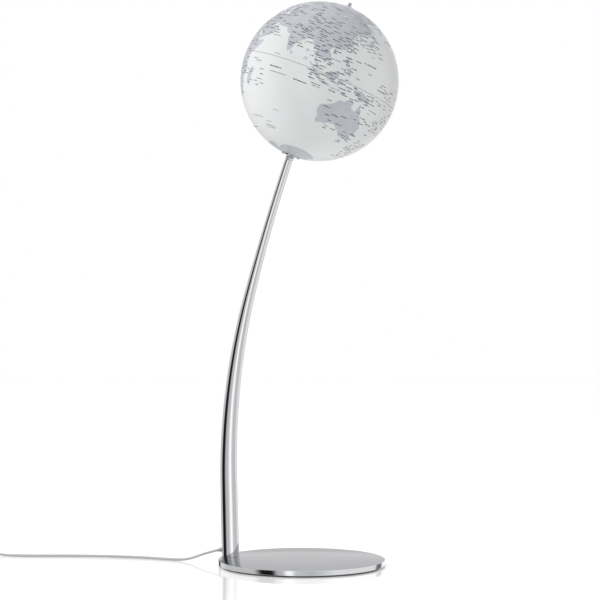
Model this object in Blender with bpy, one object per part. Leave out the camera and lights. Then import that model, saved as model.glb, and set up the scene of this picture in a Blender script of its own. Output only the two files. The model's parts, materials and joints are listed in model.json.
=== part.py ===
"""Floor-standing illuminated globe on a chromed bow arm, with its mains lead.

Metres, +Z up.  The origin is the middle of the base's underside, on the floor.
+X runs from the arm's foot towards the globe, so the arm bends in the XZ plane.
"""

import math

import bmesh
import bpy
from mathutils import Matrix, Vector

MM = 0.001
GAP = 0.3 * MM

# Base
BASE_DIAMETER = 313 * MM
BASE_PLATE_THICKNESS = 9 * MM
BASE_EDGE_BEVEL = 0.6 * MM
PAD_THICKNESS = 2.5 * MM
PAD_SETBACK = 11.5 * MM

# Bow arm: a straight foot, a main bend and a slighter upper bend
ARM_FOOT_INSET = 19 * MM
ARM_LEAN = math.radians(-1.4)
ARM_STRAIGHT = 143.5 * MM
ARM_LOWER_BEND = 1300 * MM
ARM_LOWER_END = math.radians(14.5)
ARM_UPPER_BEND = 3600 * MM
ARM_UPPER_END = math.radians(18.65)
ARM_WALL = 1.5 * MM
ARM_FOOT_WIDTH = 33.7 * MM
ARM_FOOT_DEPTH = 12 * MM
ARM_TOP_WIDTH = 15 * MM
ARM_TOP_DEPTH = 14 * MM
ARM_TAPER_START = 60 * MM
ARM_OVAL_POWER = 2.3
ARM_END_TURN = 30 * MM
INSERT_HEIGHT = 8 * MM
FOOT_SCREW_RADIUS = 2.5 * MM
FOOT_SCREW_HEAD_RADIUS = 5 * MM
FOOT_SCREW_SPACING = 15 * MM

# Globe
GLOBE_RADIUS = 150 * MM
GLOBE_WALL = 2 * MM
GLOBE_TILT = math.radians(22)
SHELL_CLEARANCE = 1 * MM
BAND_HEIGHT = 16 * MM
BAND_THICKNESS = 1.8 * MM
FLANGE_RADIUS = 18 * MM
FLANGE_THICKNESS = 1.6 * MM
NORTH_WASHER_RADIUS = 10.5 * MM
NORTH_WASHER_THICKNESS = 1.2 * MM
FINIAL_RADIUS = 3.3 * MM
FINIAL_HEIGHT = 9 * MM

# Neck between arm and globe
NECK_LIP = 1.5 * MM
NECK_LIP_RADIUS = 7.3 * MM
NECK_HUB_RADIUS = 5.9 * MM
NECK_SPIGOT_RADIUS = 5 * MM
NECK_SPIGOT_LENGTH = 10 * MM
COLLAR_HEIGHT = 5.4 * MM
COLLAR_BULGE_RADIUS = 8.3 * MM
THRUST_WASHER_THICKNESS = 1 * MM
THRUST_WASHER_RADIUS = 8 * MM

# Lamp and axle inside the globe
STEM_RADIUS = 4 * MM
STEM_BORE = 2.75 * MM
BUSH_WALL = 2 * MM
BUSH_LIP = 5 * MM
BUSH_LIP_THICKNESS = 1.6 * MM
ROD_RADIUS = 2 * MM
SADDLE_NUT_ACROSS = 14 * MM
SADDLE_NUT_HEIGHT = 4 * MM
SADDLE_LENGTH = 50 * MM
SADDLE_WIDTH = 14 * MM
SADDLE_THICKNESS = 1.2 * MM
HARP_WIRE_RADIUS = 1.5 * MM
HARP_BULGE = 34 * MM
HARP_HUB_RADIUS = 5 * MM
HARP_HUB_HEIGHT = 9 * MM
HOLDER_RADIUS = 13.5 * MM
HOLDER_BORE = 10.5 * MM
HOLDER_FLOOR = 12 * MM
HOLDER_HEIGHT = 34 * MM
SHADE_RING_RADIUS = 19 * MM
SHADE_RING_HEIGHT = 6 * MM
CAP_RADIUS = 7 * MM
CAP_HEIGHT = 22 * MM
BULB_RADIUS = 22.5 * MM
BULB_COLLAR_HEIGHT = 16 * MM
BULB_TO_HARP = 6 * MM

# Mains lead
LEAD_RADIUS = 2.5 * MM
INNER_LEAD_RADIUS = 2.2 * MM
INNER_LEAD_POINT_SPACING = 26 * MM
LEAD_POINT_SPACING = 12 * MM
LEAD_STUB = 5 * MM
RELIEF_HEIGHT = 13.2 * MM
RELIEF_DROP = math.radians(10)
RELIEF_HOLE = 0.275 * ARM_FOOT_DEPTH
RELIEF_BASE_RADIUS = 4.3 * MM
RELIEF_TIP_RADIUS = 2.6 * MM
RELIEF_LENGTH = 7 * MM
COIL_OUTSIDE = 45.5 * MM
COIL_TURNS_ACROSS = 3
COIL_LAYERS = 2
COIL_CENTRE = Vector((-762, 47, 0)) * MM
TIE_THICKNESS = 1 * MM
TIE_WIDTH = 12 * MM

# In-line rocker switch
SWITCH_CENTRE = Vector((-662, 7, 0)) * MM
SWITCH_LENGTH = 62 * MM
SWITCH_WIDTH = 23 * MM
SWITCH_BASE_HEIGHT = 7.4 * MM
SWITCH_COVER_HEIGHT = 7 * MM
ROCKER_LENGTH = 17.2 * MM
ROCKER_WIDTH = 10 * MM
ROCKER_PIN_RADIUS = 1 * MM
ROCKER_PIN_HEIGHT = 11.8 * MM
ROCKER_TILT = math.radians(7)

# Mains plug, two round pins
PLUG_BACK = Vector((-712, 93, 0)) * MM
PLUG_LENGTH = 36 * MM
PLUG_WIDTH = 26 * MM
PLUG_THICKNESS = 13.6 * MM
PLUG_PIN_RADIUS = 2 * MM
PLUG_PIN_LENGTH = 19 * MM
PLUG_PIN_SPACING = 18.6 * MM

# Worked out from the sizes above
BASE_RADIUS = BASE_DIAMETER / 2
ARM_FOOT_RADIUS = BASE_RADIUS - ARM_FOOT_INSET
PLATE_BOTTOM = PAD_THICKNESS + GAP
PLATE_TOP = PLATE_BOTTOM + BASE_PLATE_THICKNESS
ARM_START = Vector((-ARM_FOOT_RADIUS, 0, PLATE_TOP + GAP))
ARM_LOWER_LENGTH = ARM_LOWER_BEND * (ARM_LOWER_END - ARM_LEAN)
ARM_UPPER_LENGTH = ARM_UPPER_BEND * (ARM_UPPER_END - ARM_LOWER_END)
ARM_LENGTH = ARM_STRAIGHT + ARM_LOWER_LENGTH + ARM_UPPER_LENGTH
COLLAR_BOTTOM = GAP + NECK_LIP + GAP
WASHER_BOTTOM = COLLAR_BOTTOM + COLLAR_HEIGHT + GAP
FLANGE_BOTTOM = WASHER_BOTTOM + THRUST_WASHER_THICKNESS + GAP
FLANGE_OUTSIDE = GLOBE_RADIUS + GAP + FLANGE_THICKNESS
NECK_TO_CENTRE = FLANGE_BOTTOM + FLANGE_OUTSIDE
SHELL_INSIDE = GLOBE_RADIUS - GLOBE_WALL
LEAD_HEIGHT_IN_SWITCH = SWITCH_BASE_HEIGHT + 2 * GAP
COIL_WIDTH = COIL_TURNS_ACROSS * 2 * LEAD_RADIUS
COIL_RADIUS = COIL_OUTSIDE - COIL_WIDTH / 2
COIL_HEIGHT = COIL_LAYERS * 2 * LEAD_RADIUS
COIL_BOTTOM = TIE_THICKNESS + 2 * GAP

# Route of the free lead: its own points, before a smooth curve is drawn through them
LEAD_DROP = [(-12, 0, -3), (-30, 0.5, -8.4), (-48, 1.5, -15), (-64, 4, -19), (-82, 8, -20.7)]
ROUTE_TO_SWITCH = [
    (-264, 12, 2.8),
    (-300, 20, 2.8),
    (-350, 27, 2.8),
    (-410, 27, 2.8),
    (-470, 19, 2.8),
    (-530, 8, 2.8),
    (-580, 4, 2.8),
    (-606, 5.5, 4.2),
]
ROUTE_TO_COIL = [(-712, 6.4, 6.2), (-726, 4.8, 4.4)]
ROUTE_TO_PLUG = [(-731, 91, 8.7)]


# Building blocks


def clear_scene():
    for existing in list(bpy.data.objects):
        bpy.data.objects.remove(existing)


def make_material(name, color, metallic=0.0, roughness=0.5):
    material = bpy.data.materials.new(name)
    material.use_nodes = True
    shader = material.node_tree.nodes["Principled BSDF"]
    shader.inputs["Base Color"].default_value = (*color, 1)
    shader.inputs["Metallic"].default_value = metallic
    shader.inputs["Roughness"].default_value = roughness
    material.diffuse_color = (*color, 1)
    return material


def add_object(name, data, material, parent=None):
    piece = bpy.data.objects.new(name, data)
    data.materials.append(material)
    bpy.context.scene.collection.objects.link(piece)
    piece.parent = parent
    return piece


def finish_mesh(name, shape, material, parent=None):
    """Turns a bmesh into a named object, smooth on its round faces, its own origin at its parent's."""
    bmesh.ops.remove_doubles(shape, verts=shape.verts, dist=1e-7)
    bmesh.ops.recalc_face_normals(shape, faces=shape.faces)
    mesh = bpy.data.meshes.new(name)
    shape.to_mesh(mesh)
    shape.free()
    mesh.shade_smooth()
    mesh.set_sharp_from_angle(angle=math.radians(35))
    return add_object(name, mesh, material, parent)


def turned(name, outline, material, parent=None, segments=20):
    """A turned piece: its outline of (radius, height) points goes round the local Z axis.

    An outline whose ends lie on the axis is a solid.  Any other is closed, and leaves a bore.
    """
    shape = bmesh.new()
    verts = [shape.verts.new((radius, 0, height)) for radius, height in outline]
    edges = [shape.edges.new(pair) for pair in zip(verts, verts[1:])]
    if outline[0][0] > 0:
        edges.append(shape.edges.new((verts[-1], verts[0])))
    bmesh.ops.spin(
        shape,
        geom=verts + edges,
        axis=(0, 0, 1),
        angle=math.tau,
        steps=segments,
        use_merge=True,
    )
    return finish_mesh(name, shape, material, parent)


def ring_outline(inner, outer, bottom, top, bevel=0.0):
    """A ring's section, with its outer edges bevelled."""
    if not bevel:
        return [(inner, bottom), (outer, bottom), (outer, top), (inner, top)]
    return [
        (inner, bottom),
        (outer - bevel, bottom),
        (outer, bottom + bevel),
        (outer, top - bevel),
        (outer - bevel, top),
        (inner, top),
    ]


def sphere_arc(radius, start_radius, end_radius, steps, sign=1):
    """Points (radius, height) on a sphere about the origin, between two distances from its axis."""
    start = math.asin(start_radius / radius)
    end = math.asin(end_radius / radius)
    angles = [start + (end - start) * step / steps for step in range(steps + 1)]
    return [(radius * math.sin(angle), sign * radius * math.cos(angle)) for angle in angles]


def extruded(name, outline, low, high, material, parent=None, bevel=0.0):
    """A flat outline of (x, y) points, extruded in Z, with its upright edges and rims bevelled."""
    shape = bmesh.new()
    face = shape.faces.new([shape.verts.new((x, y, low)) for x, y in outline])
    raised = bmesh.ops.extrude_face_region(shape, geom=[face])
    bmesh.ops.translate(
        shape,
        vec=(0, 0, high - low),
        verts=[item for item in raised["geom"] if isinstance(item, bmesh.types.BMVert)],
    )
    if bevel:
        bmesh.ops.bevel(shape, geom=shape.edges[:], offset=bevel, segments=2, affect="EDGES")
    return finish_mesh(name, shape, material, parent)


def rectangle(length, width):
    return [
        (-length / 2, -width / 2),
        (length / 2, -width / 2),
        (length / 2, width / 2),
        (-length / 2, width / 2),
    ]


def lofted(name, rings, material, closed=False):
    """A skin over rings of points.  A closed loft joins its last ring to its first, like a tube's wall."""
    shape = bmesh.new()
    loops = [[shape.verts.new(point) for point in ring] for ring in rings]
    pairs = list(zip(loops, loops[1:]))
    if closed:
        pairs.append((loops[-1], loops[0]))
    else:
        shape.faces.new(loops[0])
        shape.faces.new(loops[-1])
    for lower, upper in pairs:
        count = len(lower)
        for index in range(count):
            after = (index + 1) % count
            shape.faces.new((lower[index], lower[after], upper[after], upper[index]))
    return finish_mesh(name, shape, material)


def lead(name, points, radius, material, resolution=2):
    """A cord solid: a bevelled poly curve with filled caps."""
    curve = bpy.data.curves.new(name, "CURVE")
    curve.dimensions = "3D"
    curve.bevel_depth = radius
    curve.bevel_resolution = resolution
    curve.use_fill_caps = True
    spline = curve.splines.new("POLY")
    spline.points.add(len(points) - 1)
    for target, point in zip(spline.points, points):
        target.co = (*point, 1)
    return add_object(name, curve, material)


def smooth_route(route, spacing):
    """Points about one spacing apart on a smooth curve that passes through every point of the route."""
    knots = [Vector(point) for point in route]
    ends = [2 * knots[0] - knots[1]] + knots + [2 * knots[-1] - knots[-2]]
    points = []
    for before, start, end, after in zip(ends, ends[1:], ends[2:], ends[3:]):
        steps = max(1, round((end - start).length / spacing))
        for step in range(steps):
            t = step / steps
            points.append(
                0.5
                * (
                    2 * start
                    + (end - before) * t
                    + (2 * before - 5 * start + 4 * end - after) * t**2
                    + (3 * start - before - 3 * end + after) * t**3
                )
            )
    points.append(knots[-1])
    return points


def combine(piece, other, operation):
    """Cuts or joins another object into a piece, and leaves the other out of the model."""
    other.hide_render = True
    other.display_type = "WIRE"
    modifier = piece.modifiers.new(other.name, "BOOLEAN")
    modifier.operation = operation
    modifier.solver = "EXACT"
    modifier.object = other


def tilt_about_y(angle, origin):
    return Matrix.Translation(origin) @ Matrix.Rotation(angle, 4, "Y")


# The arm's shape


def arm_place(distance):
    """The arm's middle line: the point at a distance from its foot, and its lean from upright."""
    straight = min(distance, ARM_STRAIGHT)
    point = ARM_START + Vector((math.sin(ARM_LEAN), 0, math.cos(ARM_LEAN))) * straight
    angle = ARM_LEAN
    rest = distance - straight
    for length, radius in ((ARM_LOWER_LENGTH, ARM_LOWER_BEND), (ARM_UPPER_LENGTH, ARM_UPPER_BEND)):
        swept = min(rest, length) / radius
        step = Vector((math.cos(angle) - math.cos(angle + swept), 0, 0))
        step.z = math.sin(angle + swept) - math.sin(angle)
        point = point + step * radius
        angle += swept
        rest = max(0, rest - length)
    return point, angle


def arm_section(distance):
    """The oval's width in the plane of the bend and its depth across it."""
    share = (distance - ARM_TAPER_START) / (ARM_LENGTH - ARM_TAPER_START)
    share = min(1, max(0, share))
    blend = (1 - math.cos(math.pi * share)) / 2
    width = ARM_FOOT_WIDTH + (ARM_TOP_WIDTH - ARM_FOOT_WIDTH) * blend
    depth = ARM_FOOT_DEPTH + (ARM_TOP_DEPTH - ARM_FOOT_DEPTH) * blend
    return width, depth


def signed_power(value, power):
    return math.copysign(abs(value) ** power, value)


def arm_ring(distance, offset, count=20):
    """One oval ring across the arm, grown or shrunk by an offset from its outer surface.

    Near the arm's ends the rings turn, so that the foot is level and the top is square to the globe's axis.
    """
    point, angle = arm_place(distance)
    width, depth = arm_section(distance)
    half_width = width / 2 + offset
    half_depth = depth / 2 + offset
    angle += (GLOBE_TILT - ARM_UPPER_END) * max(0, 1 - (ARM_LENGTH - distance) / ARM_END_TURN)
    angle -= ARM_LEAN * max(0, 1 - distance / ARM_END_TURN)
    across = Vector((math.cos(angle), 0, -math.sin(angle)))
    ring = []
    for index in range(count):
        round_angle = math.tau * index / count
        along_width = half_width * signed_power(math.cos(round_angle), 2 / ARM_OVAL_POWER)
        along_depth = half_depth * signed_power(math.sin(round_angle), 2 / ARM_OVAL_POWER)
        ring.append(point + across * along_width + Vector((0, along_depth, 0)))
    return ring


def arm_stretch(start, end, offset, steps):
    return [arm_ring(start + (end - start) * step / steps, offset) for step in range(steps + 1)]


# Base and arm


def make_base(steel, pad_material):
    pad_radius = BASE_RADIUS - PAD_SETBACK
    pad_outline = [(0, 0), (pad_radius, 0), (pad_radius, PAD_THICKNESS), (0, PAD_THICKNESS)]
    turned("base_pad", pad_outline, pad_material, segments=48)
    plate_outline = [
        (0, PLATE_BOTTOM),
        (BASE_RADIUS - BASE_EDGE_BEVEL, PLATE_BOTTOM),
        (BASE_RADIUS, PLATE_BOTTOM + BASE_EDGE_BEVEL),
        (BASE_RADIUS, PLATE_TOP - BASE_EDGE_BEVEL),
        (BASE_RADIUS - BASE_EDGE_BEVEL, PLATE_TOP),
        (0, PLATE_TOP),
    ]
    return turned("base_plate", plate_outline, steel, segments=80)


def foot_screw_places():
    return {
        "foot_screw_outer": -ARM_FOOT_RADIUS - FOOT_SCREW_SPACING / 2,
        "foot_screw_inner": -ARM_FOOT_RADIUS + FOOT_SCREW_SPACING / 2,
    }


def screw_outline(clearance, top):
    """A countersunk screw standing upright, or, with a clearance, the hole for it."""
    head_radius = FOOT_SCREW_HEAD_RADIUS + clearance
    shank_radius = FOOT_SCREW_RADIUS + clearance
    bottom = PLATE_BOTTOM - clearance
    neck = PLATE_BOTTOM + FOOT_SCREW_HEAD_RADIUS - FOOT_SCREW_RADIUS
    return [
        (0, bottom),
        (head_radius, bottom),
        (head_radius, PLATE_BOTTOM + clearance),
        (shank_radius, neck + clearance),
        (shank_radius, top),
        (0, top),
    ]


def make_foot(base_plate, steel):
    insert_bottom = ARM_START.z + GAP
    insert_top = insert_bottom + INSERT_HEIGHT
    screw_top = insert_top - 2 * MM
    rings = arm_stretch(GAP, GAP + INSERT_HEIGHT, -ARM_WALL - GAP, 1)
    insert = lofted("arm_foot_insert", rings, steel)
    for name, x in foot_screw_places().items():
        screw = turned(name, screw_outline(0, screw_top), steel, segments=16)
        screw.location.x = x
        hole = turned(name + "_hole", screw_outline(GAP, insert_top + GAP), steel, segments=16)
        hole.location.x = x
        combine(base_plate, hole, "DIFFERENCE")
        combine(insert, hole, "DIFFERENCE")


def relief_frame():
    """The place where the lead leaves the arm's outer edge, and the way it leaves."""
    point, angle = arm_place(RELIEF_HEIGHT)
    width, _ = arm_section(RELIEF_HEIGHT)
    edge = point - Vector((math.cos(angle), 0, -math.sin(angle))) * width / 2
    way_out = Vector((-math.cos(RELIEF_DROP), 0, -math.sin(RELIEF_DROP)))
    return edge, way_out


def place_along(piece, origin, direction):
    """Lays a piece turned about +Z along a direction."""
    piece.location = origin
    piece.rotation_euler = direction.to_track_quat("Z", "Y").to_euler()


def make_arm(chrome):
    outside = arm_stretch(0, ARM_LENGTH, 0, 20)
    inside = arm_stretch(0, ARM_LENGTH, -ARM_WALL, 20)
    arm = lofted("bow_arm", outside + inside[::-1], chrome, closed=True)
    edge, way_out = relief_frame()
    hole_outline = [(0, -6 * MM), (RELIEF_HOLE, -6 * MM), (RELIEF_HOLE, 6 * MM), (0, 6 * MM)]
    hole = turned("relief_hole", hole_outline, chrome, segments=20)
    place_along(hole, edge, way_out)
    combine(arm, hole, "DIFFERENCE")


def make_strain_relief(rubber):
    """A tapered grommet: a cone that seats on the arm's edge, and a neck and a lip inside the wall."""
    edge, way_out = relief_frame()
    relief = turned(
        "strain_relief",
        [
            (0, -5 * MM),
            (RELIEF_BASE_RADIUS, -5 * MM),
            (RELIEF_BASE_RADIUS, 0.8 * MM),
            (RELIEF_TIP_RADIUS, RELIEF_LENGTH),
            (0, RELIEF_LENGTH),
        ],
        rubber,
        segments=20,
    )
    place_along(relief, edge, way_out)
    seat = lofted("relief_seat", arm_stretch(GAP, 2 * RELIEF_HEIGHT, GAP, 1), rubber)
    combine(relief, seat, "DIFFERENCE")
    neck_radius = RELIEF_HOLE - GAP
    lip_radius = ARM_FOOT_DEPTH / 2 - ARM_WALL - 3 * GAP
    neck = turned(
        "relief_neck",
        [
            (0, -8 * MM),
            (lip_radius, -8 * MM),
            (lip_radius, -6.5 * MM),
            (neck_radius, -6.5 * MM),
            (neck_radius, 2 * MM),
            (0, 2 * MM),
        ],
        rubber,
        segments=20,
    )
    place_along(neck, edge, way_out)
    combine(relief, neck, "UNION")


# Neck, in the frame of the arm's end: Z along the globe's axis, zero at the arm's end


def make_neck(end, chrome, nylon):
    stem_seat = COLLAR_BOTTOM
    hub_top = COLLAR_BOTTOM + COLLAR_HEIGHT
    turned(
        "neck_boss",
        [
            (STEM_BORE, -NECK_SPIGOT_LENGTH),
            (NECK_SPIGOT_RADIUS, -NECK_SPIGOT_LENGTH),
            (NECK_SPIGOT_RADIUS, GAP),
            (NECK_LIP_RADIUS, GAP),
            (NECK_LIP_RADIUS, GAP + NECK_LIP),
            (NECK_HUB_RADIUS, GAP + NECK_LIP),
            (NECK_HUB_RADIUS, hub_top),
            (STEM_RADIUS + GAP, hub_top),
            (STEM_RADIUS + GAP, stem_seat),
            (STEM_BORE, stem_seat),
        ],
        chrome,
        end,
    )
    middle = COLLAR_BOTTOM + COLLAR_HEIGHT / 2
    bore = NECK_HUB_RADIUS + GAP
    bulge = []
    for step in range(7):
        angle = math.pi * (step / 6 - 0.5)
        radius = bore + 0.6 * MM + (COLLAR_BULGE_RADIUS - bore - 0.6 * MM) * math.cos(angle)
        bulge.append((radius, middle + COLLAR_HEIGHT / 2 * math.sin(angle)))
    collar_outline = [(bore, COLLAR_BOTTOM)] + bulge + [(bore, COLLAR_BOTTOM + COLLAR_HEIGHT)]
    turned("neck_collar", collar_outline, chrome, end)
    washer = ring_outline(
        STEM_RADIUS + GAP,
        THRUST_WASHER_RADIUS,
        WASHER_BOTTOM,
        WASHER_BOTTOM + THRUST_WASHER_THICKNESS,
    )
    turned("thrust_washer", washer, nylon, end)
    stem_top = holder_bottom() + NECK_TO_CENTRE + HOLDER_FLOOR - 2 * MM
    stem = ring_outline(STEM_BORE, STEM_RADIUS, stem_seat + GAP, stem_top)
    turned("stem_tube", stem, chrome, end)


# Globe, in the frame of its axis: Z towards the north pole, zero at its middle


def south_hole_radius():
    return STEM_RADIUS + BUSH_WALL + 2 * GAP


def north_hole_radius():
    return ROD_RADIUS + BUSH_WALL + 2 * GAP


def make_hemisphere(name, sign, hole_radius, axis, shell):
    outside = sphere_arc(GLOBE_RADIUS, GLOBE_RADIUS, hole_radius, 9, sign)
    inside = sphere_arc(SHELL_INSIDE, hole_radius, SHELL_INSIDE, 9, sign)
    half_joint = sign * GAP / 2
    outside[0] = (GLOBE_RADIUS, half_joint)
    inside[-1] = (SHELL_INSIDE, half_joint)
    turned(name, outside + inside, shell, axis, segments=40)


def make_shells(axis, shell, nylon):
    make_hemisphere("north_hemisphere", 1, north_hole_radius(), axis, shell)
    make_hemisphere("south_hemisphere", -1, south_hole_radius(), axis, shell)
    band_radius = math.sqrt(SHELL_INSIDE**2 - (BAND_HEIGHT / 2) ** 2) - SHELL_CLEARANCE
    band = ring_outline(band_radius - BAND_THICKNESS, band_radius, -BAND_HEIGHT / 2, BAND_HEIGHT / 2)
    turned("equator_band", band, nylon, axis, segments=40)


def bush_outline(bore, hole_radius, sign):
    """A top-hat bush in a pole's hole: its sleeve in the wall, its lip against the inside."""
    sleeve = hole_radius - GAP
    lip_radius = hole_radius + BUSH_LIP
    lip_top = math.sqrt(SHELL_INSIDE**2 - lip_radius**2) - SHELL_CLEARANCE
    outer_end = GLOBE_RADIUS - GAP
    outline = [
        (bore, lip_top - BUSH_LIP_THICKNESS),
        (lip_radius, lip_top - BUSH_LIP_THICKNESS),
        (lip_radius, lip_top),
        (sleeve, lip_top),
        (sleeve, outer_end),
        (bore, outer_end),
    ]
    return [(radius, sign * height) for radius, height in outline]


def make_pole_fittings(axis, chrome, nylon):
    stem_bore = STEM_RADIUS + GAP
    rod_bore = ROD_RADIUS + GAP
    turned("lower_bush", bush_outline(stem_bore, south_hole_radius(), -1), nylon, axis)
    turned("upper_bush", bush_outline(rod_bore, north_hole_radius(), 1), nylon, axis)
    seat = GLOBE_RADIUS + GAP
    flange = sphere_arc(seat, stem_bore, FLANGE_RADIUS, 4, -1)
    flange += [
        (FLANGE_RADIUS, -FLANGE_OUTSIDE + 0.8 * MM),
        (FLANGE_RADIUS - 1.2 * MM, -FLANGE_OUTSIDE),
        (stem_bore, -FLANGE_OUTSIDE),
    ]
    turned("lower_flange", flange, chrome, axis, segments=32)
    top = seat + NORTH_WASHER_THICKNESS
    washer = sphere_arc(seat, rod_bore, NORTH_WASHER_RADIUS, 3)
    washer += [
        (NORTH_WASHER_RADIUS, top - 0.7 * MM),
        (NORTH_WASHER_RADIUS - 0.8 * MM, top),
        (rod_bore, top),
    ]
    turned("north_washer", washer, chrome, axis, segments=24)
    return top


# Lamp, in the same frame


def saddle_nut_bottom():
    """Clear of the lower bush's lip, on the stem."""
    lip_radius = south_hole_radius() + BUSH_LIP
    lip_top = SHELL_CLEARANCE + BUSH_LIP_THICKNESS - math.sqrt(SHELL_INSIDE**2 - lip_radius**2)
    return lip_top + 3 * GAP


def holder_bottom():
    return saddle_nut_bottom() + SADDLE_NUT_HEIGHT + SADDLE_THICKNESS + 2 * GAP


def bulb_bottom():
    return holder_bottom() + HOLDER_FLOOR + 3 * MM


def harp_apex():
    """Height of the harp wire's middle line over the bulb."""
    bulb_top = bulb_bottom() + CAP_HEIGHT + BULB_COLLAR_HEIGHT + 2 * GAP + 2 * BULB_RADIUS * 0.8
    return bulb_top + BULB_TO_HARP


def make_harp(axis, chrome, wire_material):
    nut_radius = SADDLE_NUT_ACROSS / 2 / math.cos(math.pi / 6)
    nut_bottom = saddle_nut_bottom()
    nut = extruded(
        "saddle_nut",
        [(nut_radius * math.cos(k * math.pi / 3), nut_radius * math.sin(k * math.pi / 3)) for k in range(6)],
        nut_bottom,
        nut_bottom + SADDLE_NUT_HEIGHT,
        chrome,
        axis,
    )
    saddle_bottom = nut_bottom + SADDLE_NUT_HEIGHT + GAP
    saddle_top = saddle_bottom + SADDLE_THICKNESS
    outline = rectangle(SADDLE_LENGTH, SADDLE_WIDTH)
    saddle = extruded("harp_saddle", outline, saddle_bottom, saddle_top, chrome, axis)
    bore = STEM_RADIUS + GAP
    cutter = turned(
        "stem_passage",
        [(0, nut_bottom - GAP), (bore, nut_bottom - GAP), (bore, saddle_top + GAP), (0, saddle_top + GAP)],
        chrome,
        axis,
    )
    combine(nut, cutter, "DIFFERENCE")
    combine(saddle, cutter, "DIFFERENCE")
    leg = SADDLE_LENGTH / 2 - 3 * HARP_WIRE_RADIUS
    foot = saddle_top + GAP
    apex = harp_apex()
    rise = apex - foot
    half_loop = [
        (leg, foot),
        (leg + 1 * MM, foot + rise * 0.12),
        (HARP_BULGE, foot + rise * 0.45),
        (HARP_BULGE, foot + rise * 0.66),
        (HARP_BULGE * 0.62, foot + rise * 0.93),
    ]
    right = [(x, 0, z) for x, z in half_loop]
    left = [(-x, 0, z) for x, z in half_loop[::-1]]
    loop = smooth_route(right + [(0, 0, apex)] + left, 9 * MM)
    wire = lead("harp_wire", loop, HARP_WIRE_RADIUS, wire_material)
    wire.parent = axis
    hub_bottom = apex + HARP_WIRE_RADIUS + GAP
    hub_top = hub_bottom + HARP_HUB_HEIGHT
    rod_bottom = hub_top - 5 * MM
    turned(
        "harp_hub",
        [
            (0, hub_bottom),
            (HARP_HUB_RADIUS, hub_bottom),
            (HARP_HUB_RADIUS, hub_top),
            (ROD_RADIUS + GAP, hub_top),
            (ROD_RADIUS + GAP, rod_bottom - GAP),
            (0, rod_bottom - GAP),
        ],
        chrome,
        axis,
        segments=16,
    )
    return rod_bottom


def make_axle_rod(axis, rod_bottom, washer_top, chrome):
    """The rod from the harp through the north pole, and the acorn nut that ends it."""
    nut_bottom = washer_top + GAP
    rod_top = nut_bottom + FINIAL_HEIGHT * 0.6
    rod_outline = [(0, rod_bottom), (ROD_RADIUS, rod_bottom), (ROD_RADIUS, rod_top), (0, rod_top)]
    turned("axle_rod", rod_outline, chrome, axis, segments=16)
    bore = ROD_RADIUS + GAP
    dome_start = FINIAL_HEIGHT - FINIAL_RADIUS
    dome = []
    for step in range(6):
        angle = math.pi / 2 * step / 5
        dome.append((FINIAL_RADIUS * math.cos(angle), nut_bottom + dome_start + FINIAL_RADIUS * math.sin(angle)))
    dome[-1] = (0, nut_bottom + FINIAL_HEIGHT)
    bore_top = rod_top + GAP
    finial = [(0, bore_top), (bore, bore_top), (bore, nut_bottom), (FINIAL_RADIUS, nut_bottom)] + dome
    turned("finial_nut", finial, chrome, axis, segments=20)


def make_lamp(axis, holder_material, brass, white, diffuser):
    bottom = holder_bottom()
    floor = bottom + HOLDER_FLOOR
    top = bottom + HOLDER_HEIGHT
    stem_hole = STEM_RADIUS + GAP
    turned(
        "lamp_holder",
        [
            (stem_hole, bottom),
            (HOLDER_RADIUS - 2 * MM, bottom),
            (HOLDER_RADIUS, bottom + 3 * MM),
            (HOLDER_RADIUS, top),
            (HOLDER_BORE, top),
            (HOLDER_BORE, floor),
            (stem_hole, floor),
        ],
        holder_material,
        axis,
    )
    contact = ring_outline(0, HOLDER_BORE - 4 * MM, floor + GAP, floor + GAP + 1 * MM)
    turned("lamp_contact", contact, brass, axis, segments=16)
    shade_bottom = top - SHADE_RING_HEIGHT - 4 * MM
    shade = ring_outline(HOLDER_RADIUS + GAP, SHADE_RING_RADIUS, shade_bottom, top - 4 * MM, 1 * MM)
    turned("shade_ring", shade, holder_material, axis)
    cap_bottom = bulb_bottom()
    cap_top = cap_bottom + CAP_HEIGHT
    turned(
        "bulb_screw_cap",
        [
            (0, cap_bottom),
            (3 * MM, cap_bottom),
            (CAP_RADIUS, cap_bottom + 4 * MM),
            (CAP_RADIUS, cap_top),
            (0, cap_top),
        ],
        brass,
        axis,
        segments=20,
    )
    collar_bottom = cap_top + GAP
    collar_top = collar_bottom + BULB_COLLAR_HEIGHT
    dome_radius = BULB_RADIUS * 0.96
    turned(
        "bulb_collar",
        [(0, collar_bottom), (CAP_RADIUS + 1 * MM, collar_bottom), (dome_radius, collar_top), (0, collar_top)],
        white,
        axis,
    )
    dome_bottom = collar_top + GAP
    middle = dome_bottom + BULB_RADIUS * 0.6
    dome = [(0, dome_bottom)]
    for step in range(7):
        angle = math.radians(-37) + math.radians(127) * step / 6
        dome.append((BULB_RADIUS * math.cos(angle), middle + BULB_RADIUS * math.sin(angle)))
    dome[-1] = (0, middle + BULB_RADIUS)
    turned("bulb_dome", dome, diffuser, axis)


# Mains lead


def make_inner_lead(end, sheath):
    """From the strain relief up the middle of the arm, and through the neck and stem to the lamp."""
    edge, way_out = relief_frame()
    start = edge - way_out * (8 * MM + GAP)
    route = [start, start - way_out * 5 * MM]
    for distance in (32, 50, 90):
        route.append(arm_place(distance * MM)[0] - Vector((6 * MM * (90 - distance) / 60, 0, 0)))
    count = 18
    last = ARM_LENGTH - NECK_SPIGOT_LENGTH
    for step in range(1, count + 1):
        route.append(arm_place(90 * MM + (last - 90 * MM) * step / count)[0])
    for height in (4 * MM, NECK_TO_CENTRE + holder_bottom(), NECK_TO_CENTRE + holder_bottom() + 8 * MM):
        route.append(end.matrix_basis @ Vector((0, 0, height)))
    lead("inner_lead", smooth_route(route, INNER_LEAD_POINT_SPACING), INNER_LEAD_RADIUS, sheath)


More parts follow.
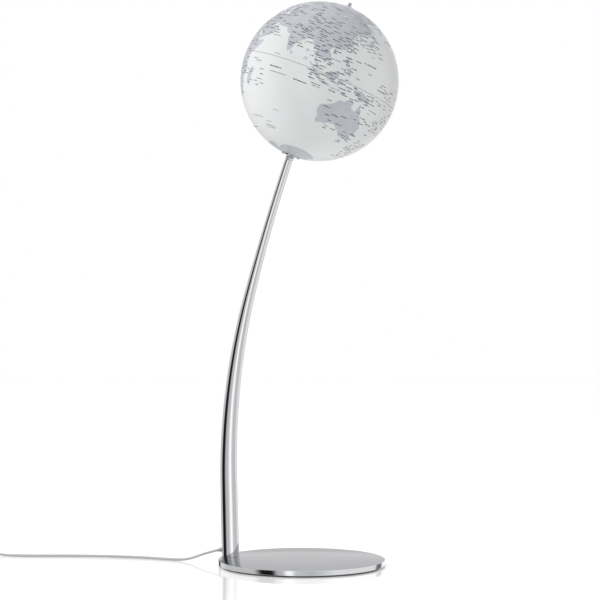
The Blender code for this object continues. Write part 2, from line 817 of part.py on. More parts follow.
def route_points(route):
    return [Vector(point) * MM for point in route]


def coil_end(side, layer):
    """Where a free lead meets the coil, level with a layer of its turns: side is -1 at the front, 1 at the back."""
    turn_radius = COIL_OUTSIDE - LEAD_RADIUS
    reach = math.sqrt((COIL_OUTSIDE + GAP) ** 2 - (turn_radius - LEAD_RADIUS) ** 2)
    height = COIL_BOTTOM + LEAD_RADIUS * (2 * layer + 1)
    return COIL_CENTRE + Vector((reach, side * turn_radius, height))


def make_leads(sheath):
    """The free lead's three stretches: arm to switch, switch to coil, coil to plug.

    Each starts or ends square to the piece it meets, along a short straight stub.
    """
    edge, way_out = relief_frame()
    relief_end = edge + way_out * (RELIEF_LENGTH + GAP)
    stub = Vector((LEAD_STUB, 0, 0))
    from_middle = Vector((SWITCH_LENGTH / 2 + GAP, 0, 0))
    switch_middle = SWITCH_CENTRE + Vector((0, 0, LEAD_HEIGHT_IN_SWITCH))
    plug_end = PLUG_BACK + Vector((-GAP, 0, PLUG_THICKNESS / 2 + GAP))
    to_switch = [relief_end, relief_end + way_out * LEAD_STUB]
    to_switch += [relief_end + step for step in route_points(LEAD_DROP)]
    to_switch += route_points(ROUTE_TO_SWITCH)
    to_switch += [switch_middle + from_middle + stub, switch_middle + from_middle]
    to_coil = [switch_middle - from_middle, switch_middle - from_middle - stub]
    to_coil += route_points(ROUTE_TO_COIL) + [coil_end(-1, 0)]
    to_plug = [coil_end(1, 1)] + route_points(ROUTE_TO_PLUG) + [plug_end - stub, plug_end]
    for name, route in (
        ("mains_lead_switch", to_switch),
        ("mains_lead_coil", to_coil),
        ("mains_lead_plug", to_plug),
    ):
        lead(name, smooth_route(route, LEAD_POINT_SPACING), LEAD_RADIUS, sheath)


def make_coil(sheath, tie_material):
    coil = turned(
        "mains_coil",
        ring_outline(
            COIL_RADIUS - COIL_WIDTH / 2,
            COIL_RADIUS + COIL_WIDTH / 2,
            COIL_BOTTOM,
            COIL_BOTTOM + COIL_HEIGHT,
            1.5 * MM,
        ),
        sheath,
        segments=32,
    )
    coil.location = COIL_CENTRE
    clearance = 3 * GAP
    inner_width = COIL_WIDTH + 2 * clearance
    middle = COIL_BOTTOM + COIL_HEIGHT / 2
    opening_height = COIL_HEIGHT + 2 * GAP
    tie = extruded(
        "cord_tie",
        rectangle(inner_width + 2 * TIE_THICKNESS, opening_height + 2 * TIE_THICKNESS),
        -TIE_WIDTH / 2,
        TIE_WIDTH / 2,
        tie_material,
    )
    opening = extruded("tie_opening", rectangle(inner_width, opening_height), -TIE_WIDTH, TIE_WIDTH, tie_material)
    combine(tie, opening, "DIFFERENCE")
    for piece in (tie, opening):
        piece.rotation_euler.x = math.pi / 2
        piece.location = COIL_CENTRE + Vector((-COIL_RADIUS, 0, middle))


def switch_outline(length, width):
    """A box drawn in at its ends, where the lead goes in."""
    waist = width * 0.42
    shoulder = length * 0.32
    return [
        (-length / 2, -waist / 2),
        (-shoulder, -width / 2),
        (shoulder, -width / 2),
        (length / 2, -waist / 2),
        (length / 2, waist / 2),
        (shoulder, width / 2),
        (-shoulder, width / 2),
        (-length / 2, waist / 2),
    ]


def make_switch(plastic, rocker_material, steel):
    """An in-line switch: base, cover with a window, and a rocker on a pin across the window."""
    place = bpy.data.objects.new("switch_place", None)
    bpy.context.scene.collection.objects.link(place)
    place.location = SWITCH_CENTRE
    outline = switch_outline(SWITCH_LENGTH, SWITCH_WIDTH)
    split = GAP + SWITCH_BASE_HEIGHT
    cover_top = split + GAP + SWITCH_COVER_HEIGHT
    extruded("switch_base", outline, GAP, split, plastic, place, bevel=0.8 * MM)
    cover = extruded("switch_cover", outline, split + GAP, cover_top, plastic, place, bevel=0.8 * MM)
    window_length = ROCKER_LENGTH + 2 * MM
    window_width = ROCKER_WIDTH + 0.8 * MM
    window = extruded(
        "rocker_window",
        rectangle(window_length, window_width),
        split - GAP,
        cover_top + GAP,
        plastic,
        place,
    )
    combine(cover, window, "DIFFERENCE")
    pin_length = window_width + 3.2 * MM
    pivot = bpy.data.objects.new("rocker_pivot", None)
    bpy.context.scene.collection.objects.link(pivot)
    pivot.parent = place
    pivot.location.z = ROCKER_PIN_HEIGHT
    half = ROCKER_LENGTH / 2
    side_view = [
        (-half, -1 * MM),
        (-3 * MM, -3 * MM),
        (3 * MM, -3 * MM),
        (half, -1 * MM),
        (half, 3.4 * MM),
        (0, 2.5 * MM),
        (-half, 3.4 * MM),
    ]
    rocker = extruded("switch_rocker", side_view, -ROCKER_WIDTH / 2, ROCKER_WIDTH / 2, rocker_material, pivot)
    rocker.rotation_euler = (math.pi / 2, ROCKER_TILT, 0)
    for name, radius, length in (
        ("switch_pin", ROCKER_PIN_RADIUS, pin_length),
        ("pin_hole", ROCKER_PIN_RADIUS + GAP, pin_length + 2 * GAP),
    ):
        outline = [(0, -length / 2), (radius, -length / 2), (radius, length / 2), (0, length / 2)]
        pin = turned(name, outline, steel, pivot, segments=16)
        pin.rotation_euler.x = math.pi / 2
    hole = bpy.data.objects["pin_hole"]
    combine(cover, hole, "DIFFERENCE")
    combine(rocker, hole, "DIFFERENCE")


def make_plug(plastic, brass):
    """A flat two-pin plug lying on its broad side, its pins pointing along +X."""
    middle = PLUG_THICKNESS / 2 + GAP
    neck = PLUG_WIDTH * 0.3
    outline = [
        (0, -neck / 2),
        (PLUG_LENGTH * 0.35, -PLUG_WIDTH / 2),
        (PLUG_LENGTH, -PLUG_WIDTH / 2),
        (PLUG_LENGTH, PLUG_WIDTH / 2),
        (PLUG_LENGTH * 0.35, PLUG_WIDTH / 2),
        (0, neck / 2),
    ]
    body = extruded("plug_body", outline, GAP, GAP + PLUG_THICKNESS, plastic, bevel=1.2 * MM)
    body.location = PLUG_BACK
    pin_outline = [(0, 0), (PLUG_PIN_RADIUS, 0), (PLUG_PIN_RADIUS, PLUG_PIN_LENGTH), (0, PLUG_PIN_LENGTH)]
    for name, side in (("plug_pin_1", -1), ("plug_pin_2", 1)):
        pin = turned(name, pin_outline, brass, segments=16)
        foot = PLUG_BACK + Vector((PLUG_LENGTH + GAP, side * PLUG_PIN_SPACING / 2, middle))
        place_along(pin, foot, Vector((1, 0, 0)))


def make_axis_frame(name, height):
    """An empty on the globe's axis, at a height along it from the arm's end."""
    end_point, _ = arm_place(ARM_LENGTH)
    frame = bpy.data.objects.new(name, None)
    bpy.context.scene.collection.objects.link(frame)
    along = Vector((math.sin(GLOBE_TILT), 0, math.cos(GLOBE_TILT)))
    frame.matrix_basis = tilt_about_y(GLOBE_TILT, end_point + along * height)
    return frame


def main():
    clear_scene()
    brushed_steel = make_material("brushed_steel", (0.53, 0.53, 0.53), metallic=1, roughness=0.35)
    chrome = make_material("chrome", (0.65, 0.65, 0.66), metallic=1, roughness=0.05)
    screw_steel = make_material("screw_steel", (0.35, 0.35, 0.36), metallic=1, roughness=0.4)
    brass = make_material("brass", (0.58, 0.42, 0.16), metallic=1, roughness=0.3)
    felt = make_material("pad_felt", (0.03, 0.03, 0.03), roughness=0.95)
    shell = make_material("globe_print", (0.75, 0.76, 0.78), roughness=0.35)
    nylon = make_material("white_nylon", (0.75, 0.75, 0.72), roughness=0.5)
    sheath = make_material("grey_sheath", (0.42, 0.42, 0.43), roughness=0.5)
    plastic = make_material("grey_plastic", (0.45, 0.45, 0.46), roughness=0.4)
    rocker_grey = make_material("rocker_grey", (0.2, 0.2, 0.21), roughness=0.35)
    holder_white = make_material("holder_white", (0.72, 0.72, 0.7), roughness=0.4)
    diffuser = make_material("bulb_diffuser", (0.85, 0.84, 0.8), roughness=0.4)

    base_plate = make_base(brushed_steel, felt)
    make_foot(base_plate, screw_steel)
    make_arm(chrome)
    end = make_axis_frame("arm_end", 0)
    axis = make_axis_frame("globe_axis", NECK_TO_CENTRE)
    make_neck(end, chrome, nylon)
    make_shells(axis, shell, nylon)
    washer_top = make_pole_fittings(axis, chrome, nylon)
    rod_bottom = make_harp(axis, chrome, chrome)
    make_axle_rod(axis, rod_bottom, washer_top, chrome)
    make_lamp(axis, holder_white, brass, holder_white, diffuser)
    make_strain_relief(sheath)
    make_inner_lead(end, sheath)
    make_leads(sheath)
    make_coil(sheath, felt)
    make_switch(plastic, rocker_grey, screw_steel)
    make_plug(plastic, brass)


main()
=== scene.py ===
import json
import math
import random

import bpy
import numpy as np
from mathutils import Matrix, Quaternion, Vector


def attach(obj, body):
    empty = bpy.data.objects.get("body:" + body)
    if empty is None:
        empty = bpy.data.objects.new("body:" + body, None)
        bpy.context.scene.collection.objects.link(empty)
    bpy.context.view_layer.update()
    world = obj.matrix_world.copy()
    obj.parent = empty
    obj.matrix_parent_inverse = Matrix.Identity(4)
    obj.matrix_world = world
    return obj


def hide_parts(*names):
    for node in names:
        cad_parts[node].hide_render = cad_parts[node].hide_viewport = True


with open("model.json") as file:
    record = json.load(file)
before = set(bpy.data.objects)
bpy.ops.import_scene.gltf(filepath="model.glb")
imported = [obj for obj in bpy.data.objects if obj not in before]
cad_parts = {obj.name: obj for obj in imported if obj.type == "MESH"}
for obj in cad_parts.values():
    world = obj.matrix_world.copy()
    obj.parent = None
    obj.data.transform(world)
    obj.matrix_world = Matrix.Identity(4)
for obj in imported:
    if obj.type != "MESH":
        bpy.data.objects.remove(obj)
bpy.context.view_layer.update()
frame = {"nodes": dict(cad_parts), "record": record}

MM = 0.001

# ---------------------------------------------------------------- sizes, in metres

GLOBE_RADIUS = 150 * MM
GLOBE_WALL = 2 * MM
GLOBE_TILT = math.radians(22)
GLOBE_CENTRE = Vector((34.694, 0, 911.952)) * MM
LONGITUDE_TO_X = 183.8  # the longitude that faces the lean, in degrees
JOINT_GAP = 0.15 * MM  # each shell's share of the gap at the equator
SOUTH_HOLE = 6.6 * MM
NORTH_HOLE = 4.6 * MM
MAP_STEP = 0.6  # degrees between the shell's points
RING_POINTS = round(360 / MAP_STEP)
INNER_ROWS = 10  # the plain inside has one row of points for so many outside

# Each half of the map is printed flat and then formed, which draws it towards the equator. The pull, in
# degrees, is full from MAP_PULL_FROM on, and fades over MAP_PULL_FADE to nothing at MAP_PULL_TO.
MAP_PULL_NORTH = 2.2
MAP_PULL_SOUTH = 1.3
MAP_PULL_FROM = 6
MAP_PULL_TO = 88
MAP_PULL_FADE = 30
COAST_MARGIN = 3.0  # degrees from a coast that are still measured

ARM_START = Vector((-137.5, 0, 12.1)) * MM
ARM_LEAN = math.radians(-1.4)
ARM_STRAIGHT = 143.5 * MM
ARM_BENDS = ((1300 * MM, math.radians(14.5)), (3600 * MM, math.radians(18.65)))
ARM_WALL = 1.5 * MM
ARM_FOOT = (33.7 * MM, 12 * MM)
ARM_TOP = (15 * MM, 14 * MM)
ARM_TAPER_START = 60 * MM
ARM_OVAL_POWER = 2.3
ARM_END_TURN = 30 * MM
ARM_RINGS = 150
ARM_RING_POINTS = 96

BASE_RADIUS = 156.5 * MM
PLATE_BOTTOM = 2.8 * MM
PLATE_TOP = 11.8 * MM
RIM_BEVEL = 0.6 * MM
RIM_BEVEL_STEPS = 4
PLATE_FLAT = 30 * MM  # the plate's innermost ring of points
PLATE_RING_POINTS = 256
PLATE_CREASE = math.radians(30)
LEVEL = 0.9  # a face whose normal rises more than this is on the plate's flat top or underside

LEAD_RADIUS = 2.5 * MM
LEAD_POINT_SPACING = 7 * MM
LEAD_STUB = 5 * MM
RELIEF_HEIGHT = 13.2 * MM
RELIEF_DROP = math.radians(10)
RELIEF_REACH = 7.3 * MM
SWITCH_MIDDLE = Vector((-662, 7, 8)) * MM
SWITCH_END = Vector((31.3, 0, 0)) * MM
PLUG_ENTRY = Vector((-712.3, 93, 7.1)) * MM
COIL_CENTRE = Vector((-762, 47, 0)) * MM
COIL_OUTER_TURN = 43 * MM
COIL_PITCH = 5 * MM
COIL_LOWER = 4.1 * MM
COIL_UPPER = 9.1 * MM
COIL_TURNS = 5.5
COIL_TURN_POINTS = 30
# The turns between which the lead moves a pitch inwards or outwards, and those between which it climbs.
COIL_MOVES = ((0.8, 1.05, -1), (1.75, 2, -1), (3.5, 3.75, 1), (4.45, 4.7, 1))
COIL_CLIMB = (2.6, 2.9)

# The lead's way down from the arm, from the relief's tip, and then along the floor, in millimetres.
LEAD_DROP = [(-12, 0, -3), (-30, 0.5, -8.4), (-48, 1.5, -15), (-64, 4, -19), (-82, 8, -20.7)]
ROUTE_TO_SWITCH = [
    (-264, 12, 2.8), (-300, 20, 2.8), (-350, 27, 2.8), (-410, 27, 2.8), (-470, 19, 2.8),
    (-530, 8, 2.8), (-580, 4, 2.8), (-606, 5.5, 4.2),
]
ROUTE_TO_COIL = [(-712, 6.4, 6.2), (-726, 4.8, 4.4), (-740.6, 4, 4.1)]
ROUTE_TO_PLUG = [(-740.6, 90, 9.1), (-731, 91, 8.7)]

# Moulded parts have no sharp outer edges: how far each one's edges are rounded off.
ROUNDED_EDGES = {
    "plug_body": 2.2 * MM,
    "switch_base": 0.9 * MM,
    "switch_cover": 0.9 * MM,
    "switch_rocker": 0.5 * MM,
    "cord_tie": 0.4 * MM,
    "plug_pin_1": 0.5 * MM,
    "plug_pin_2": 0.5 * MM,
}
ROUNDING_STEPS = 4
ROUNDED_ANGLE = math.radians(20)
CREASE_ANGLE = math.radians(32)
MADE_CREASE = math.radians(40)  # the same for pieces made here
WELD_REACH = 0.005 * MM

# ---------------------------------------------------------------- camera and studio

CAMERA_PLACE = (0.5047, -2.5964, 0.3784)
CAMERA_FORWARD = Vector((-0.1918, 0.9804, 0.0450))
CAMERA_LENS = 84  # millimetres, as is the sensor's width
CAMERA_SENSOR = 36

# Bands of the studio round the object: where each ends, in degrees round from straight ahead of its front,
# and how bright it is. Left of the camera stand a dark flag and then a bright panel.
STUDIO_BANDS = [
    (-180, 0.49), (-152, 0.49), (-149, 0.02), (-139, 0.02), (-136, 0.42), (-110, 0.3), (-57, 0.3),
    (-46, 0.005), (-28, 0.005), (-22, 0.26), (-14, 0.28), (-9, 0.56), (-3, 0.56), (3, 0.31), (26, 0.27),
    (58, 0.42), (104, 0.42), (131, 0.42), (136, 0.1), (150, 0.06), (155, 0.49), (180, 0.49),
]
PANEL_STRENGTH = 2.2
DOME = (1.06, 1.06, 1.07, 1)  # the lit ceiling, whose edge lies between the two heights below
DOME_EDGE = (0.45, 0.7)
MIRRORED_DOME_LIFT = 0.3  # mirrors see the ceiling start this much higher up
WHITE = (1, 1, 1, 1)
# Soft boxes: where each stands, what it is aimed at, its side in metres and its power in watts.
SOFT_BOXES = {
    "key": ((-2.6, -1.6, 2.3), (0, 0, 0.8), 1.4, 82),
    "fill": ((2.6, -1.6, 2.4), (0, 0, 0.7), 2.0, 3),
}
FLOOR_HALF_SIDE = 30
FLOOR_WASH = 0.76
FLOOR_WASH_SPREAD = math.radians(120)
LACQUER_GLOSS = 0.5
LACQUER_FADE = (0.5, 1.3)  # metres from the middle of the stand

# ---------------------------------------------------------------- the map: (longitude, latitude) in degrees

LAND = {
    "europe_asia": [
        (-9, 37), (-9.4, 38.8), (-8.8, 43.2), (-1.8, 43.4), (-1.2, 46), (-4.7, 48.4), (-1.6, 48.7),
        (-1.6, 49.7), (1.6, 50.9), (4.6, 53), (8, 53.7), (8.2, 56.8), (10.5, 57.7), (10, 55), (11, 54),
        (14, 54), (18.5, 54.7), (21, 55.3), (21.5, 57.4), (24.2, 57.2), (23.6, 59.2), (30, 60), (25, 60.2),
        (21.5, 61), (21.3, 63), (25.3, 65), (22, 65.8), (17.5, 62), (18.8, 60), (16.5, 57), (14.2, 55.4),
        (12.8, 55.6), (11.2, 59), (8, 58), (5.3, 59), (5, 62), (10, 64), (14.5, 67.5), (20, 70), (26, 71.1),
        (31, 70.2), (41, 67), (40, 66), (33, 66.6), (38, 64), (44, 66), (44, 68.5), (54, 68.3), (60, 68.8),
        (69, 68.5), (67, 71), (69, 73), (73, 72.5), (72, 68), (75, 68), (74, 72.5), (80, 73), (87, 75),
        (104, 77.7), (113, 74), (128, 72.5), (140, 72.8), (152, 71), (160, 69.7), (170, 70), (180, 69),
        (190, 66), (180, 62.3), (170, 60), (163.3, 58), (162, 54.8), (156.8, 51), (155.7, 56), (163, 61.5),
        (156.5, 61.5), (154, 59.5), (143, 59.3), (135.5, 54.7), (141, 53), (140.3, 48), (135, 43.4),
        (131.5, 43), (129.7, 41), (127.5, 39.5), (129.4, 37), (129, 35.2), (126.4, 34.4), (126.6, 37),
        (124.8, 39.8), (121.3, 39), (121.9, 40.7), (118, 39), (119, 37.5), (122.4, 37.2), (119.3, 35),
        (121.8, 32), (121, 30.5), (122, 29.7), (119.5, 25.7), (116.5, 23), (113.5, 22.2), (110.4, 21),
        (108, 21.6), (105.7, 19), (107.5, 16.5), (109.3, 13), (109, 11.5), (106.7, 10.4), (104.8, 8.6),
        (105, 10.2), (102.6, 12.2), (100.6, 13.5), (99.9, 11.5), (99.3, 9.3), (101.2, 6.8), (103.4, 4.2),
        (103.9, 1.4), (101, 3), (100.2, 6.3), (98.3, 8.5), (98.7, 12), (97.6, 16), (95.3, 15.8),
        (94.3, 17.5), (92, 21), (91, 22.6), (88.2, 21.7), (86.8, 20.8), (82.3, 16.7), (80.2, 15), (80, 12),
        (79.2, 10.3), (78, 8.3), (77.2, 8.1), (76, 10.5), (74.5, 14.5), (73, 18), (72.7, 21), (70.3, 20.8),
        (69, 22.3), (67.5, 24), (66.5, 25.3), (61.6, 25.1), (57.3, 25.7), (56, 27), (51.5, 27.9),
        (48.8, 30.2), (50, 26.5), (51.3, 25.3), (51.6, 24.2), (54.5, 24.2), (56.3, 26.2), (57, 24),
        (59.8, 22.4), (57.8, 19), (55, 17), (52, 15.6), (45, 12.7), (43.4, 12.7), (42.6, 16.5),
        (39, 21.4), (35, 28), (32.6, 29.9), (32.5, 31.1), (34.3, 31.3), (35.9, 35), (36, 36.7),
        (32.5, 36.1), (30.5, 36.5), (27.5, 36.8), (26.5, 39.3), (26.3, 40.3), (23.7, 40.5), (22.8, 39.5),
        (24, 37.8), (22.8, 36.5), (21.3, 37), (19.4, 41), (19.5, 42), (15.5, 44), (13.7, 45.6), (12.3, 45),
        (13.5, 43.6), (16, 41.5), (18.4, 40), (16.8, 40.5), (16, 38), (15.7, 40), (12.3, 41.8),
        (10.3, 43.8), (8, 44.2), (3.2, 43), (3, 41.6), (0, 40), (-0.5, 38), (-2.2, 36.8), (-5.6, 36.1),
    ],
    "africa": [
        (-5.9, 35.8), (-2, 35.1), (5, 36.8), (10, 37.3), (11, 35.5), (10.2, 34), (15.3, 32.3), (19, 30.3),
        (20.5, 32.8), (25, 31.6), (29, 30.9), (32.5, 31.2), (32.5, 29.9), (33.6, 27.8), (35.5, 24),
        (37.2, 21), (37.5, 18.7), (39.5, 15.5), (43.2, 12), (44, 10.4), (51.2, 11.9), (50.8, 9.5),
        (47.5, 4.3), (42, -1), (39.2, -4.7), (39.5, -7.5), (40.7, -12), (40.6, -15.5), (35, -19.8),
        (35.5, -23.7), (32.8, -26), (32, -29), (27.5, -33.2), (20, -34.8), (18.3, -34), (17, -29),
        (14.8, -25), (14.4, -22), (11.7, -16.5), (13.7, -11), (12.2, -5.8), (8.8, -1), (9.8, 3.2),
        (8.5, 4.6), (6, 4.3), (3.5, 6.4), (-2, 4.8), (-4, 5.2), (-7.6, 4.4), (-11.5, 6.9), (-13.2, 8.8),
        (-15, 11), (-16.8, 13), (-17.5, 14.7), (-16.3, 19), (-17, 21), (-14.5, 26.2), (-10, 29.5),
        (-9.7, 31.5), (-6.8, 34),
    ],
    "madagascar": [(49.3, -12), (50.4, -15.7), (47.1, -24.9), (45.2, -25.5), (43.4, -22), (44.4, -16.2)],
    "australia": [
        (114.2, -21.8), (113.4, -24.4), (113.3, -26.2), (115, -30), (115.7, -32), (115, -34.3),
        (118, -35.1), (120, -33.9), (123.7, -33.9), (126, -32.2), (131.2, -31.5), (134.2, -32.8),
        (135.6, -34.9), (137.8, -32.6), (137.5, -35.2), (138.5, -35.6), (140.5, -38), (143.5, -38.8),
        (144.9, -37.9), (146.4, -39.1), (150, -37.4), (151.2, -33.8), (153.1, -31), (153.6, -28),
        (152.8, -25.3), (150.8, -23.3), (149.2, -21), (146.2, -18.9), (145.4, -15), (143.6, -14),
        (142.5, -10.8), (141.7, -12.6), (140.9, -17.4), (139.3, -17.4), (135.6, -15), (136.9, -12.2),
        (132.6, -11.4), (130.8, -12.5), (129.6, -14.9), (126.8, -13.9), (124.4, -15.6), (123.6, -17.4),
        (122.2, -18), (119, -20), (116.8, -20.6),
    ],
    "tasmania": [(144.7, -40.8), (148.3, -40.9), (148, -43), (146.8, -43.6), (145.4, -42.5)],
    "new_guinea": [
        (131, -0.8), (134, -0.8), (135, -3.3), (138, -1.6), (141, -2.6), (145, -4.3), (147.8, -6.1),
        (147.6, -8), (150.8, -10.4), (147, -9.5), (144, -7.7), (141, -9.1), (138, -8.3), (138.8, -7),
        (135, -4.5), (133, -4), (132.8, -2.8),
    ],
    "new_britain": [(148.3, -5.6), (151.5, -4.3), (152.2, -4.2), (151, -6), (149, -6.3)],
    "borneo": [
        (109, 1.5), (111.3, 2.5), (113.2, 3.2), (116.8, 7), (119.2, 5.2), (117.8, 3.5), (119, 1),
        (117.5, 0.5), (116.3, -3), (114.5, -4), (110.2, -2.9), (109, 0),
    ],
    "sumatra": [
        (95.3, 5.6), (97.5, 5.2), (100.4, 2.4), (103.5, -0.8), (106, -3), (105.8, -5.8), (104.5, -5.8),
        (102, -3.7), (100.3, -0.8), (98.7, 1.7),
    ],
    "java": [(105.3, -6.8), (106.8, -6), (110.8, -6.4), (114.5, -7.7), (114.4, -8.7), (108.5, -7.8)],
    "sulawesi": [
        (119.5, -5.5), (118.9, -2.7), (119.9, 0.7), (125, 1.6), (123.3, 0.4), (120.5, 0.4), (121.2, -1),
        (123.3, -0.8), (121.5, -2), (122.8, -4.5), (121, -2.7), (120.5, -5.6),
    ],
    "lesser_sundas": [(116, -8.3), (119, -8.2), (122.8, -8.2), (122.5, -8.9), (119, -9), (116, -9)],
    "timor": [(123.6, -10.3), (127.2, -8.4), (125, -8.7)],
    "luzon": [(120.2, 16), (120.6, 18.5), (122.3, 18.4), (121.6, 15.5), (124.1, 12.8), (120.6, 13.8)],
    "visayas": [(121.9, 11.6), (123.2, 11.2), (125.2, 12.5), (125.3, 10.2), (123.3, 9.5), (122.3, 10.3)],
    "mindanao": [(122, 7), (123.5, 8.6), (125.5, 9.8), (126.5, 7.3), (125.4, 5.7), (124, 6.8)],
    "halmahera": [(127.5, 1.9), (128.6, 1.2), (128, -0.7)],
    "seram": [(127.9, -3), (130.7, -2.9), (130.5, -3.7), (128.2, -3.5)],
    "hainan": [(108.7, 19.3), (110.9, 20), (110, 18.3)],
    "taiwan": [(120.2, 23.2), (121.8, 25.2), (120.9, 22)],
    "kyushu": [(129.8, 33.1), (131, 33.8), (132, 32.8), (131.2, 31.2), (130.2, 31.3)],
    "shikoku": [(132.4, 33.1), (133.2, 34.2), (134.6, 34.2), (134, 33.3)],
    "honshu": [
        (131, 34.2), (133, 35.5), (136, 35.8), (137, 37.3), (139.5, 38.2), (140, 40.7), (141.3, 41.4),
        (142, 39.5), (140.8, 35.7), (138.5, 34.7), (136, 33.6), (135, 34.5), (132, 34),
    ],
    "hokkaido": [(140, 41.6), (141.6, 45.4), (145.4, 43.3), (143, 42), (141, 42.4)],
    "sakhalin": [(142, 46), (142.5, 54.3), (143.5, 49.5), (143.2, 46.6)],
    "sri_lanka": [(79.9, 9.6), (81.8, 7.5), (80.6, 5.9), (79.8, 7.5)],
    "north_zealand": [
        (172.8, -34.5), (174.7, -36.5), (178.5, -37.7), (176.5, -41), (175, -41.5), (173.9, -39.3),
        (174.9, -38),
    ],
    "south_zealand": [
        (172.7, -40.6), (174.2, -41.7), (170.5, -45.9), (168.4, -46.6), (166.6, -45.9), (171, -42.5),
    ],
    "britain": [
        (-5.5, 50.1), (1.4, 51.2), (1.7, 52.7), (0, 53.2), (-2, 56), (-2, 57.6), (-3.2, 58.6), (-5.2, 58.4),
        (-4.8, 55.2), (-3.2, 54.2), (-4.6, 53), (-4.8, 51.8), (-3, 51.5),
    ],
    "ireland": [(-10, 52), (-6.2, 52.2), (-6, 54.5), (-8, 55.3), (-10, 54)],
    "iceland": [(-24, 65.5), (-22, 66.4), (-16, 66.5), (-13.6, 65), (-18.5, 63.4), (-22.6, 63.9)],
    "svalbard": [(11, 79.5), (20, 80.3), (27, 80), (17, 76.7)],
    "novaya_zemlya": [(51.5, 71.5), (56, 74.5), (68.5, 77), (60, 75.2), (57, 71.5)],
    "severnaya_zemlya": [(96, 79), (99, 81), (105, 79), (100, 78.2)],
    "new_siberia": [(138, 75.2), (143, 76), (150, 75.2), (142, 73.6)],
    "sicily": [(12.5, 38), (15.5, 38.2), (15.1, 36.7)],
    "sardinia_corsica": [(8.4, 39), (8.3, 41), (9.4, 43), (9.7, 40), (9.3, 39)],
    "crete_cyprus": [(23.6, 35.4), (26.3, 35.3), (25, 34.9)],
    "cyprus": [(32.4, 35.1), (34.5, 35.6), (33.2, 34.6)],
    "greenland": [
        (-73, 78.3), (-60, 82), (-32, 83.5), (-18, 80), (-20, 74), (-26, 69), (-40, 65), (-43.5, 60),
        (-48, 61), (-53.5, 67), (-52, 70), (-55, 72), (-60, 76),
    ],
    "north_america": [
        (-168, 65.7), (-162, 66.5), (-166, 68.3), (-156.5, 71.3), (-141, 69.6), (-128, 70.3), (-115, 68.5),
        (-108, 68), (-96, 68), (-94, 71.8), (-88, 68), (-82, 69.5), (-81.5, 67), (-87, 65), (-94, 61),
        (-94.5, 58.7), (-88, 56.6), (-82.2, 55), (-82, 53), (-79, 51.4), (-79, 54.7), (-76.7, 57.5),
        (-78, 61), (-77.5, 62.5), (-71, 61), (-65, 59), (-61.5, 56.5), (-55.6, 52.3), (-60, 50.2),
        (-66, 50.2), (-70, 47), (-65, 48.7), (-64.5, 46.5), (-61, 45.3), (-66, 43.7), (-65, 45.4),
        (-70, 43.7), (-70.8, 42), (-74, 40.5), (-76, 37), (-75.6, 35.3), (-81.2, 31.5), (-80.1, 26),
        (-81.2, 25.2), (-82.8, 28), (-84.2, 30), (-89, 30), (-94, 29.5), (-97.3, 27.5), (-97.7, 22.5),
        (-95, 18.6), (-91.5, 18.6), (-90.4, 21), (-87, 21.5), (-88.2, 16), (-83.5, 15.3), (-83.6, 11),
        (-80, 9.2), (-77.4, 8.6), (-78.3, 7.6), (-80, 7.4), (-83, 8.3), (-85.8, 10.5), (-87.8, 13),
        (-94, 16), (-97, 15.8), (-101.5, 17.6), (-105.5, 20.3), (-106, 23), (-109.5, 26), (-112.5, 30),
        (-114.8, 31.7), (-112, 27), (-109.5, 23), (-112, 25), (-115, 29), (-117.1, 32.5), (-120.6, 34.5),
        (-124.3, 40.3), (-124, 46), (-123, 49), (-128, 51), (-131, 55), (-136.5, 58.3), (-146, 60.7),
        (-151.5, 59.3), (-154, 58.5), (-164.5, 54.7), (-158, 58.5), (-162, 59), (-165.5, 61.5), (-161, 64.3),
    ],
    "baffin": [
        (-65, 62), (-74, 64.5), (-73, 68), (-89, 70.5), (-85, 73.7), (-76, 72.8), (-68, 70.4), (-61.5, 66.5),
    ],
    "ellesmere": [(-90, 76.5), (-90, 81.5), (-62, 82.5), (-78, 76.3)],
    "victoria": [(-117, 71), (-105, 73.2), (-102, 70), (-105, 68.8), (-116, 69.3)],
    "banks_melville": [(-125, 72), (-117, 76), (-105, 76), (-108, 74.6), (-119, 73.5), (-122, 71.3)],
    "newfoundland": [(-59.3, 47.7), (-55.5, 51.5), (-53, 47), (-56, 46.9)],
    "cuba": [(-84.7, 22), (-80, 23.2), (-74.3, 20.3), (-77.6, 19.9)],
    "hispaniola": [(-74.3, 18.4), (-73, 19.9), (-68.5, 18.6), (-71.5, 17.8)],
    "south_america": [
        (-77.4, 8.6), (-75, 11), (-71.7, 12.4), (-71.5, 11), (-68, 11.8), (-62, 10.7), (-57, 6),
        (-51.5, 4.3), (-50, 0.5), (-48, -0.8), (-44, -2.7), (-37, -4.8), (-35, -7), (-37, -11.5), (-39, -15),
        (-40, -20), (-42, -23), (-48, -26), (-48.7, -28.6), (-53.5, -34), (-58.3, -34), (-57, -36.5),
        (-57.7, -38.3), (-62.2, -39), (-65, -41), (-63.6, -42.6), (-67.4, -46), (-65.8, -47.8), (-69, -51),
        (-65.2, -54.8), (-71, -54.5), (-75, -50.5), (-74, -42), (-73.5, -37), (-71.4, -30), (-70.2, -19),
        (-76.2, -14), (-79.5, -7), (-81.3, -4.5), (-80, -3), (-80.9, -1), (-78.8, 1.5), (-77.3, 4),
        (-77.8, 7),
    ],
    "antarctica": [
        (-200, -96), (-200, -77), (-190, -77.5), (-180, -78), (-160, -77.5), (-150, -76.5), (-135, -74.5),
        (-115, -74), (-100, -72.5), (-80, -73), (-68, -69), (-57, -63.3), (-61, -66.5), (-62, -74),
        (-45, -78), (-30, -76), (-15, -72), (0, -70), (15, -70), (28, -71), (37, -72), (45, -70.2),
        (52, -69.7), (58, -69.7), (63, -70.2), (66, -72), (67, -75), (69, -77), (72, -75.5), (75, -73),
        (79, -71.4), (86, -69), (93, -67.6), (105, -66), (115, -65.7), (130, -66), (145, -68), (157, -70),
        (170, -72.5), (165, -78), (180, -78), (200, -77), (200, -96),
